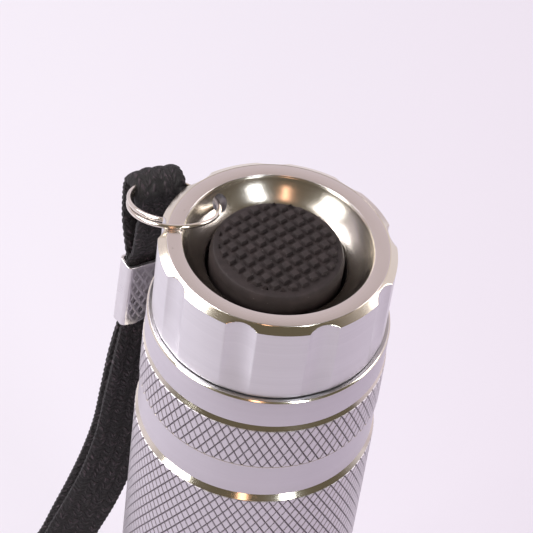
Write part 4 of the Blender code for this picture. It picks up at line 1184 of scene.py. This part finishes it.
@dataclass
class Head:
    """The head shell and bezel, turned like the tube."""

    height: float = 44.0
    radius: float = 16.5
    bezel: float = 7.0
    neck: float = 14.5
    barrel: float = 24.0
    fins: int = 3
    fin_rib: float = 1.5
    fin_groove: float = 1.3
    fin_depth: float = 1.0
    edge: float = 0.3
    corner: float = 0.6
    taper: float = 5.0
    seat: float = 15.3
    seat_top: float = 13.8
    cavity: float = 14.6
    cavity_top: float = 26.0
    waist: float = 12.9
    waist_top: float = 40.2
    socket: float = 13.4
    nose: float = 15.0
    nose_top: float = 13.5
    mouth: float = 13.5
    lip: float = 2.0
    bore: float = 14.2
    bore_reach: float = 13.8
    rounding: float = 0.12

    def build(self) -> None:
        """Make the shell and the bezel."""
        fins_top = self.barrel + self.fins * (self.fin_groove + self.fin_rib)
        taper_top = fins_top + self.taper
        wall = self.radius - self.edge
        outside: list[Pair] = [(self.neck - self.corner, self.height), (self.neck, self.height - self.corner)]
        for i in range(8):
            outside.append((self.neck + (wall - self.neck) * smooth(i / 8), taper_top - self.taper * i / 8))
        for i in range(self.fins):
            top = fins_top - i * (self.fin_groove + self.fin_rib)
            rib = top - self.fin_rib
            outside += [(wall, top), (wall, rib), (wall - self.fin_depth, rib),
                        (wall - self.fin_depth, rib - self.fin_groove)]
        low = self.bezel + self.edge
        outside += [
            (self.radius - self.corner, self.barrel), (self.radius, self.barrel - self.corner),
            (self.radius, low + self.edge), (wall, low), (self.seat, low), (self.seat, self.seat_top),
            (self.cavity, self.seat_top), (self.cavity, self.cavity_top), (self.waist, self.cavity_top),
            (self.waist, self.waist_top), (self.socket, self.waist_top), (self.socket, self.height),
        ]
        ring = [
            (self.nose, self.nose_top), (self.nose, self.bezel), (wall, self.bezel),
            (self.radius, self.bezel - self.edge), (self.radius, self.corner), (self.radius - self.corner, 0.0),
            (self.mouth, 0.0), (self.waist, self.lip - self.edge), (self.waist, self.lip), (self.bore, self.lip),
            (self.bore, self.nose_top),
        ]
        for name, node, profile in (("head_shell_turned", "head_shell", outside), ("bezel_turned", "bezel_ring", ring)):
            bm = turn(eased(profile, self.rounding), TURNED_STEPS)
            zoned(bm, self.shell_zone if profile is outside else self.zone)
            finishes = (Finish.SIDE, Finish.CHAMFER, Finish.MACHINED)
            place_piece(to_object(name, bm, finishes), "head", Slot.ALUMINIUM, node)

    def zone(self, centre: Vector, normal: Vector) -> int:
        """The slot of a face: 0 satin, 1 polished chamfer."""
        return int(0.3 < abs(normal.z) < 0.95)

    def shell_zone(self, centre: Vector, normal: Vector) -> int:
        """The slot of a face of the shell, whose bore is 2, machined."""
        return 2 if centre.xy.length < self.bore_reach else self.zone(centre, normal)


@dataclass
class Lanyard:
    """The split ring, the folded strap on it, the crimp and the wrist loop."""

    cap: TailCap
    ring_radius: float = 4.95
    ring_wire: float = 0.55
    ring_pitch: float = 0.72
    ring_sag: float = 0.2
    ring_lift: float = 10.6
    ring_start: float = 138.0
    ring_step: Pair = (285.0, 335.0)
    ring_end: float = 275.0
    ring_points: int = 150
    width: float = 6.0
    thickness: float = 0.95
    pressed: float = 0.65
    press_run: float = 3.0
    overlap: float = 0.15
    leave: float = 0.8
    ply_gap: float = 0.15
    loop_azimuth: float = 121.0
    loop_inner: float = 1.1
    loop_place: Triple = (-14.351, 8.369, 116.55)
    loop_tilt: float = 9.0
    flare: float = 0.6
    crimp_azimuth: float = 126.0
    crimp_tilt: float = 2.3
    crimp_top: float = 14.35
    crimp_length: float = 9.5
    crimp_wall: float = 0.35
    crimp_gap: float = 0.12
    crimp_offset: float = 0.83
    crimp_shift: float = 0.47
    crimp_corner: float = 0.6
    crimp_tiers: int = 24
    strap_turn: float = 4.0
    turn_drop: float = 34.0

    WAIST_REACH = (-1.5, 1.69)
    FOLD_STEP = 0.22
    LOOP_STEP = 0.24
    FOLD_RUN = (-4.3, -3.7, -3.0, -2.0, 0.0, 1.0, 2.0, 3.2, 4.5)
    FOLD_LEFT = (-0.9, -0.85, -0.1, 0.1, 0.0, 0.0, 0.0, 0.1, 0.1)
    FOLD_DROOP = (0.0, 0.5, 1.2, 1.6, 1.5, 1.1, 0.6, 0.2, 0.0)
    SPINE = (
        (-15.1, 8.75, 88.0, 1.2), (-15.6, 8.7, 81.5, 1.25), (-16.15, 8.7, 74.5, 1.55), (-17.3, 8.7, 67.5, 2.15),
        (-18.85, 8.75, 61.0, 2.4), (-20.75, 8.8, 54.5, 2.5), (-22.5, 8.9, 48.5, 2.9),
    )
    LOOP = (
        (-25.6, 5.6, 41.8), (-29.7, 1.0, 33.8), (-34.1, -3.9, 25.8), (-38.4, -8.2, 18.0), (-42.2, -11.2, 10.4),
        (-44.6, -11.4, 4.4), (-46.0, -7.8, 1.2), (-46.7, -1.0, 0.8), (-47.1, 8.0, 0.75), (-47.2, 17.5, 0.75),
        (-47.0, 25.5, 1.0), (-46.2, 31.4, 3.6), (-44.4, 33.6, 9.0), (-41.4, 31.2, 16.0), (-37.3, 26.4, 23.4),
        (-32.5, 20.8, 30.6), (-28.0, 15.7, 37.2), (-24.5, 11.7, 43.0),
    )

    def frame(self) -> tuple[Vector, Vector, Vector, Vector]:
        """The ring's centre, its directions to the hole and onwards, and its normal."""
        middle, along = self.cap.hole()
        up = (UP - along * along.z).normalized()
        out = along.cross(up).normalized()
        if out.x > 0:
            out = -out
        lift = math.radians(self.ring_lift)
        to_centre = out * math.cos(lift) + up * math.sin(lift)
        normal = to_centre.cross(along).normalized()
        return middle + to_centre * self.ring_radius, -to_centre, -along, normal if normal.z > 0 else -normal

    def ring(self) -> bpy.types.Object:
        """Wind the split ring, half threaded through the cap."""
        centre, to_hole, around, normal = self.frame()
        start, end = math.radians(self.ring_start - 360), math.radians(self.ring_end)
        low, high = (math.radians(a - 360) for a in self.ring_step)
        curve = bpy.data.curves.new("split_ring_wire", "CURVE")
        curve.dimensions = "3D"
        curve.bevel_depth = self.ring_wire / 2 * MM
        curve.bevel_resolution = 4
        curve.use_fill_caps = True
        spline = curve.splines.new("POLY")
        spline.points.add(self.ring_points)
        for i, point in enumerate(spline.points):
            angle = start + (end - start) * i / self.ring_points
            ease = smooth(unit((angle - low) / (high - low)))
            lift = self.ring_pitch * (1 - ease) - self.ring_sag * max(0.0, -math.cos(angle))
            place = centre + (to_hole * math.cos(angle) + around * math.sin(angle)) * self.ring_radius
            point.co = (*((place + normal * lift) * MM), 1.0)
        curve.materials.append(Paints.get(Finish.RING))
        return place_piece(linked("split_ring_wire", curve), "ring", Slot.SPRING, "split_ring")

    def directions(self) -> tuple[Vector, Vector]:
        """Outwards from the ring at the fold, and along the strap's width there."""
        return heading(self.loop_azimuth), heading(self.loop_azimuth - 90)

    def crimp_directions(self) -> tuple[Vector, Vector, Vector]:
        """The crimp's tilted width, its way outwards and its axis up."""
        outward, level = heading(self.crimp_azimuth), heading(self.crimp_azimuth - 90)
        tilt = math.radians(self.crimp_tilt)
        width = level * math.cos(tilt) - UP * math.sin(tilt)
        return width, outward, UP * math.cos(tilt) + level * math.sin(tilt)

    def crimp_middle(self) -> Vector:
        """The middle of the crimp."""
        outward, along = self.directions()
        middle = Vector(self.loop_place) + outward * self.crimp_offset + along * self.crimp_shift
        middle.z = self.cap.rim - self.crimp_top - self.crimp_length / 2
        return middle

    def pressed_thickness(self, distance: float) -> float:
        """The strap's thickness at a distance outside the crimp, which presses it thinner."""
        return self.pressed + (self.thickness - self.pressed) * unit(distance / self.press_run)

    def ends(self, way: int, onward: float) -> tuple[Vector, list[list[Vector]]]:
        """Where the two plies leave the crimp.

        Args:
            way: 1 for the upper mouth, -1 for the lower.
            onward: How far past the mouth the plies run straight.

        Returns:
            The middle of the mouth, and each ply's first three places.
        """
        _, outward, axis = self.crimp_directions()
        mouth = self.crimp_middle() + axis * way * self.crimp_length / 2
        ply = (self.pressed + self.ply_gap) / 2
        runs = (-self.crimp_length / 2 + self.overlap, 0.0, onward)
        return mouth, [[mouth + outward * side * ply + axis * way * run for run in runs] for side in (-1, 1)]

    def top_loop(self) -> bpy.types.Object:
        """Make the folded strap between the ring and the crimp."""
        outward, along = self.directions()
        width = self.crimp_directions()[0]
        fold = Vector(self.loop_place)
        radius = self.loop_inner + self.thickness / 2
        mouth, legs = self.ends(1, self.leave)
        waist = (fold + mouth) / 2
        for leg, reach in zip(legs, self.WAIST_REACH):
            leg.append(waist + outward * reach)
        arc = []
        for i in range(9):
            angle = math.pi * i / 8
            arc.append(fold + (UP * math.sin(angle) - outward * math.cos(angle)) * radius)
        route = smooth_route([*legs[0], *arc, *legs[1][::-1]], self.FOLD_STEP)
        top = max(range(len(route)), key=lambda i: route[i].z)
        strap = Ribbon("top_loop_braid")
        folded = along - UP * math.tan(math.radians(self.loop_tilt))
        half = self.width / 2
        for i, point in enumerate(route):
            above = point.z - mouth.z
            across = width.lerp(folded, unit(above / (waist.z - mouth.z)))
            behind = (i - top) * self.FOLD_STEP
            high = unit((point.z - waist.z) / (fold.z - waist.z))
            left = half + float(np.interp(behind, self.FOLD_RUN, self.FOLD_LEFT)) * max(high, 0.25)
            if i < top:
                left += self.flare * max(0.0, 1 - abs(above - 0.5) / 1.8)
            droop = float(np.interp(behind, self.FOLD_RUN, self.FOLD_DROOP)) * high
            strap.add(point, across, self.pressed_thickness(above), left, half, droop)
        return strap.build()

    def wrist_loop(self) -> tuple[bpy.types.Object, list[Vector]]:
        """Make the wrist loop, and give the line that it follows."""
        width, outward, _ = self.crimp_directions()
        mouth, ends = self.ends(-1, self.thickness)
        legs: list[list[Vector]] = [[], []]
        first, last = self.SPINE[0][2], self.SPINE[-1][2]
        for x, y, z, apart in self.SPINE:
            facing = outward.lerp(Vector((0, 1, 0)), (first - z) / (first - last)).normalized()
            for leg, side in zip(legs, (-1, 1)):
                leg.append(Vector((x, y, z)) + facing * side * apart / 2)
        loop = [Vector(p) for p in self.LOOP]
        route = smooth_route([*ends[0], *legs[0], *loop, *legs[1][::-1], *ends[1][::-1]], self.LOOP_STEP)
        strap = Ribbon("wrist_loop_braid")
        for point in route:
            drop = mouth.z - point.z
            across = width.lerp(heading(self.strap_turn), unit(drop / self.turn_drop))
            strap.add(point, across, self.pressed_thickness(drop), self.width / 2, self.width / 2)
        return strap.build(), route

    def crimp(self) -> bpy.types.Object:
        """Press the metal sleeve round the plies."""
        half_width = self.width / 2 + self.crimp_gap + self.crimp_wall
        half_depth = self.pressed + self.ply_gap / 2 + self.crimp_gap + self.crimp_wall
        flat = Vector((half_width - self.crimp_corner, half_depth - self.crimp_corner, 0.0))
        corners = ((1, 1), (-1, 1), (-1, -1), (1, -1))
        outline: list[Vector] = []
        for quarter, spans in enumerate((14, 3, 14, 3)):
            centre, target = (flat * Vector((*corners[(quarter + k) % 4], 0)) for k in (0, 1))
            outline += [centre + heading(90 * quarter + 15 * i) * self.crimp_corner for i in range(7)]
            facing = heading(90 * quarter + 90) * self.crimp_corner
            outline += [(centre + facing).lerp(target + facing, i / spans) for i in range(1, spans)]
        bm = bmesh.new()
        verts = [bm.verts.new(place - UP * self.crimp_length / 2) for place in outline]
        ring = [bm.edges.new(pair) for pair in zip(verts, verts[1:] + verts[:1])]
        for _ in range(self.crimp_tiers):
            made = bmesh.ops.extrude_edge_only(bm, edges=ring)
            moved = made_verts(made)
            ring = [g for g in made["geom"] if isinstance(g, bmesh.types.BMEdge) and all(v in moved for v in g.verts)]
            bmesh.ops.translate(bm, verts=moved, vec=(0, 0, self.crimp_length / self.crimp_tiers))
        self.press(bm, flat.x, half_depth - 0.02)
        face_outwards(bm)
        if bm.faces[0].normal.dot(Vector((*bm.faces[0].calc_center_median().xy, 0.0))) < 0:
            bmesh.ops.reverse_faces(bm, faces=list(bm.faces))
        bmesh.ops.solidify(bm, geom=list(bm.faces), thickness=self.crimp_wall)
        turned = Matrix(self.crimp_directions()).transposed().to_4x4()
        place = Matrix.Scale(MM, 4) @ Matrix.Translation(self.crimp_middle()) @ turned
        bmesh.ops.transform(bm, matrix=place, verts=bm.verts)
        face_outwards(bm)
        piece = to_object("crimp_pressed", bm, (Finish.CRIMP,), 40)
        bevel = piece.modifiers.new("edge", "BEVEL")
        bevel.width = 0.07 * MM
        bevel.segments = 2
        bevel.limit_method = "ANGLE"
        bevel.angle_limit = math.radians(50)
        return place_piece(piece, "lanyard", Slot.CRIMP, "strap_crimp")

    def press(self, bm: bmesh.types.BMesh, flat: float, face: float) -> None:
        """Dent the sleeve's broad faces, bend its mouths and mark where the lines are pressed in.

        Args:
            bm: The sleeve, in millimetres round its own middle.
            flat: How far from its middle the broad faces stay flat.
            face: How far out they lie.
        """
        uv = bm.loops.layers.uv.new("UVMap")
        pressed = bm.verts.layers.float.new("pressed")
        for vert in bm.verts:
            x, y, z = vert.co
            height = z / self.crimp_length + 0.5
            if abs(y) > face and abs(x) < flat:
                dent = max(0.0, 1 - (abs(x) / flat) ** 4) * max(0.0, math.sin(math.pi * height)) ** 0.3
                vert.co.y -= math.copysign(0.12 * dent, y)
                vert[pressed] = unit(min(height - 0.06, 0.97 - height) * 30) * min(1.0, dent * 4)
            if height < 0.02:
                vert.co.z += 0.16 * math.sin(x * 2.3 + (1.0 if y > 0 else 2.4)) + 0.1 * math.cos(x * 0.9)
            if height > 0.98:
                vert.co.y *= 1.05
        for loop in (loop for face in bm.faces for loop in face.loops):
            loop[uv].uv = (loop.vert.co.x + loop.vert.co.y, loop.vert.co.z)

    def build(self) -> None:
        self.ring()
        crimp = self.crimp()
        top = place_piece(self.top_loop(), "lanyard", Slot.NYLON, "strap_top_loop")
        strap, route = self.wrist_loop()
        place_piece(strap, "lanyard", Slot.NYLON, "wrist_strap")
        length = sum((b - a).length for a, b in zip(route, route[1:])) * MM
        tuple(route[0] * MM)
        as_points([tuple(p * MM) for p in route[::6]] + [tuple(route[-1] * MM)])
        LOG.info("wrist strap: %.1f mm", length / MM)


def smooth_route(points: Sequence[Vector], spacing: float) -> list[Vector]:
    """Evenly spaced points along a smooth curve.

    Args:
        points: The places that the curve passes.
        spacing: The distance between the points that come back.

    Returns:
        The points.
    """
    places = np.array([tuple(p) for p in points], float)
    ends = np.vstack([2 * places[0] - places[1], places, 2 * places[-1] - places[-2]])
    fine = []
    for i in range(1, len(ends) - 2):
        before, start, end, after = ends[i - 1: i + 3]
        for share in np.linspace(0.0, 1.0, 24, endpoint=False):
            bend = (2 * before - 5 * start + 4 * end - after) * share**2
            twist = (3 * start - before - 3 * end + after) * share**3
            fine.append(0.5 * (2 * start + (end - before) * share + bend + twist))
    fine.append(places[-1])
    line = np.array(fine)
    lengths = np.concatenate([[0.0], np.cumsum(np.linalg.norm(np.diff(line, axis=0), axis=1))])
    count = int(round(lengths[-1] / spacing))
    wanted = np.linspace(0.0, lengths[-1], count + 1)
    return [Vector(p) for p in np.stack([np.interp(wanted, lengths, line[:, k]) for k in range(3)], axis=1)]


class Ribbon:
    """A flat braided strap, laid down point by point."""

    SPANS = 16
    YARN = 0.95
    EDGE = 0.09
    RIB = 0.13
    TOOTH = 0.16
    DROOP_RUN = 2.4

    def __init__(self, name: str) -> None:
        """Start a strap of that name."""
        self.name = name
        self.laid: list[tuple[Vector, Vector, float, float, float, float]] = []

    def add(self, point: Vector, across: Vector, thickness: float, left: float, right: float,
            droop: float = 0.0) -> None:
        """Lay the next point, with how far the strap reaches against and along the direction of its width."""
        self.laid.append((point, across, thickness, left, right, droop))

    def section(self, thickness: float, left: float, right: float) -> list[tuple[float, float, bool]]:
        """Points round the strap: how far across, how far through, and whether one lies on an edge."""
        made = []
        middle, half = (right - left) / 2, (left + right) / 2
        for side in (1, -1):
            for i in range(self.SPANS + 1):
                share = 1 - 2 * i / self.SPANS
                u = middle + side * share * (half - self.EDGE)
                rib = self.RIB * abs(math.sin(math.pi * 2 * share)) ** 0.7
                edge = 0.62 if i in (0, self.SPANS) else 0.93 if i in (1, self.SPANS - 1) else 1.0
                made.append((u, side * ((thickness / 2 - 0.1) * edge + rib), i in (0, self.SPANS)))
        return made

    def build(self) -> bpy.types.Object:
        """Skin the strap.

        Returns:
            The piece, with a UV map in millimetres across and along.
        """
        bm = bmesh.new()
        uv = bm.loops.layers.uv.new("UVMap")
        rings, marks = [], []
        run = 0.0
        count = len(self.laid)
        for i, (point, across, thickness, left, right, droop) in enumerate(self.laid):
            run += (point - self.laid[i - 1][0]).length if i else 0.0
            ahead = (self.laid[min(i + 1, count - 1)][0] - self.laid[max(i - 1, 0)][0]).normalized()
            side = (across - ahead * across.dot(ahead)).normalized()
            face = ahead.cross(side)
            tooth = abs(math.sin(math.pi * run / self.YARN)) ** 0.6
            ring = []
            for u, v, edge in self.section(thickness, left, right):
                reach = u + math.copysign(self.TOOTH * tooth - 0.03, u) if edge else u
                place = point + side * reach + face * v
                place.z -= droop * max(0.0, 1 - (u + left) / self.DROOP_RUN) ** 1.6
                ring.append((bm.verts.new(place * MM), (u + left, run)))
            rings.append(ring)
        size = len(rings[0])
        for near, far in zip(rings, rings[1:]):
            for k in range(size):
                corners = (near[k], far[k], far[(k + 1) % size], near[(k + 1) % size])
                made = bm.faces.new([vert for vert, _ in corners])
                for loop, (_, place) in zip(made.loops, corners):
                    loop[uv].uv = place
        for ring in (rings[0], rings[-1]):
            bm.faces.new([vert for vert, _ in ring])
        face_outwards(bm)
        return to_object(self.name, bm, (Finish.BRAID,), 60)


class Inside:
    """The pieces that the model carries as they are, which take a finish each."""

    def dress(self) -> None:
        """Give every carried node its material."""
        worn = {
            Finish.LENS: ("lens",),
            Finish.SEAL: ("lens_gasket", "boot_flange"),
            Finish.MIRROR: ("reflector",),
            Finish.PHOSPHOR: ("led_emitter",),
            Finish.BOARD_WHITE: ("led_board",),
            Finish.BRASS: ("led_pill", "front_terminal", "rear_terminal", "switch_retainer"),
            Finish.BOARD: ("driver_board", "switch_board"),
            Finish.SPRING: ("driver_spring", "tail_spring", "cell_spring_1", "cell_spring_2", "cell_spring_3"),
            Finish.HOUSING: ("cell_carrier", "boot_washer", "switch_housing", "switch_plunger"),
            Finish.WRAP: ("cell_1", "cell_2", "cell_3"),
            Finish.SIDE: ("body_tube", "head_shell", "bezel_ring", "tail_cap"),
            Finish.BUTTON: ("boot_button",),
            Finish.RING: ("split_ring",),
            Finish.CRIMP: ("strap_crimp",),
            Finish.BRAID: ("wrist_strap", "strap_top_loop"),
        }
        dressed = {node: finish for finish, nodes in worn.items() for node in nodes}
        for name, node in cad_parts.items():
            finish = dressed.get(name, Finish.SEAL)
            node.data.materials.clear()
            node.data.materials.append(Paints.get(finish))
        LOG.info("dressed %d carried nodes", len(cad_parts))


@dataclass
class Studio:
    """The pale surface, the soft light and the camera."""

    elevation: float = 45.98
    roll: float = 8.12
    distance: float = 268.73
    shift: Pair = (1.33, 2.52)
    focal_pixels: float = 2500.0
    frame_pixels: int = 533
    rim: float = RIM
    floor_reach: float = 4.0
    floor_drop: float = 0.2
    glow: float = 0.62
    aim: float = 90.0

    ROOM = (
        (0.0, (0.80, 0.74, 0.83)), (0.30, (0.78, 0.71, 0.77)), (0.60, (0.74, 0.65, 0.66)),
        (0.78, (0.64, 0.55, 0.54)), (0.92, (0.36, 0.31, 0.27)), (1.0, (0.25, 0.22, 0.18)),
    )
    ROOM_FRONT = (0.125, 0.105, 0.075)
    LAMPS = (
        ("key", (-470, 120, 640), (420, 420), 3.2, (1.0, 0.985, 1.0)),
        ("window", (-524, -321, 452), (280, 460), 3.0, (1.0, 0.99, 0.98)),
        ("far_window", (353, -469, 500), (110, 380), 1.5, (0.92, 0.96, 1.0)),
        ("bulb", (0, -567, 530), (75, 360), 0.34, (1.0, 0.56, 0.36)),
        ("side", (620, 120, 420), (300, 300), 1.2, (1.0, 0.98, 0.99)),
    )

    def floor(self) -> None:
        """Lay the pale surface that the light stands on, with painted shade towards its right and painted shadows at
        its lower right and in front.
        """
        bm = bmesh.new()
        bmesh.ops.create_grid(bm, x_segments=1, y_segments=1, size=self.floor_reach,
                              matrix=Matrix.Translation(UP * -self.floor_drop * MM))
        mesh = bpy.data.meshes.new("floor")
        bm.to_mesh(mesh)
        bm.free()
        floor = linked("floor", mesh)
        s = Shader.named("pale_floor")
        x, y, _ = s.split(s.coordinates())
        # Painted shade: darker towards the right, a painted shadow at the lower right, and the front, on the camera's
        # side, darkened as a painted shadow.
        shade = s.mix(x.step(-80.0, 200.0), (0.855, 0.812, 0.897), (0.77, 0.69, 0.80))
        shade = s.mix(x.step(10.0, 150.0) * (1.0 - y.step(-20.0, 220.0)) * 0.8, shade, (0.67, 0.595, 0.69))
        tint = s.mix((0.0 - y).step(-20.0, 280.0), shade, (0.50, 0.452, 0.492))
        diffuse = s.value(0, "ShaderNodeBsdfDiffuse", None, {"Color": tint})
        glow = s.value(0, "ShaderNodeEmission", None, {"Color": tint, "Strength": 1.0})
        path = s.node("ShaderNodeLightPath").outputs
        seen = Val(s, path["Is Camera Ray"]).most(Val(s, path["Is Glossy Ray"]))
        seen = seen.most(Val(s, path["Is Transmission Ray"]))
        s.close(s.value(0, "ShaderNodeMixShader", None, {0: seen * self.glow, 1: diffuse, 2: glow}))
        mesh.materials.append(s.material)

    def world(self) -> None:
        """Surround the light with a room that is pale at its back and dark behind the camera."""
        world = bpy.data.worlds.new("room")
        bpy.context.scene.world = world
        room = Shader(world)
        x, y, z = room.split(room.value("Generated", "ShaderNodeTexCoord"))
        sides = room.value(0, "ShaderNodeValToRGB", {"stops": self.ROOM}, {0: z.clamped()})
        shown = room.mix((0.0 - y + x * 0.2).step(-0.25, 0.35), sides, self.ROOM_FRONT)
        back = room.value(0, "ShaderNodeBackground", None, {0: shown, 1: 1.0})
        room.node("ShaderNodeOutputWorld", None, {0: back})

    def lamp(self, name: str, place: Triple, size: Pair, power: float, colour: Colour) -> None:
        """Hang a soft rectangular lamp that faces the light's tail.

        Args:
            name: The lamp's name.
            place: Where it hangs, in millimetres.
            size: Its width and height in millimetres.
            power: Its power in watts.
            colour: Its colour.
        """
        light = bpy.data.lights.new(name, "AREA")
        light.shape = "RECTANGLE"
        light.size, light.size_y = size[0] * MM, size[1] * MM
        light.energy = power
        light.color = colour
        lamp = linked(name, light)
        spot = Vector(place) * MM
        lamp.location = spot
        lamp.rotation_mode = "QUATERNION"
        lamp.rotation_quaternion = (UP * self.aim * MM - spot).to_track_quat("-Z", "Y")

    def camera(self) -> None:
        """Set the camera at the photograph's place."""
        raised, rolled = math.radians(self.elevation), math.radians(self.roll)
        right = Vector((1, 0, 0))
        forward = Vector((0, math.cos(raised), -math.sin(raised)))
        up = Vector((0, math.sin(raised), math.cos(raised)))
        across = right * math.cos(rolled) + up * math.sin(rolled)
        above = up * math.cos(rolled) - right * math.sin(rolled)
        data = bpy.data.cameras.new("camera")
        data.sensor_width = 36.0
        data.lens = self.focal_pixels / self.frame_pixels * data.sensor_width
        data.clip_start, data.clip_end = 0.01, 20.0
        camera = linked("camera", data)
        place = UP * self.rim - forward * self.distance - across * self.shift[0] - above * self.shift[1]
        turned = Matrix((across, above, -forward)).transposed().to_4x4()
        camera.matrix_world = Matrix.Translation(place * MM) @ turned
        bpy.context.scene.camera = camera

    def build(self) -> None:
        """Set up the floor, the room, the lamps and the camera."""
        self.camera()
        self.floor()
        self.world()
        for lamp in self.LAMPS:
            self.lamp(*lamp)
        bpy.context.scene.view_settings.view_transform = "Standard"


def main() -> None:
    """Build the studio and every piece in order."""
    logging.basicConfig(level=logging.INFO, format="%(message)s")
    studio = Studio()
    studio.build()
    cap = TailCap()
    Lanyard(cap).build()
    Inside().dress()
    cap.build()
    cap.seal()
    Button().build()
    BatteryTube().build()
    Head().build()


if __name__ == "__main__":
    main()
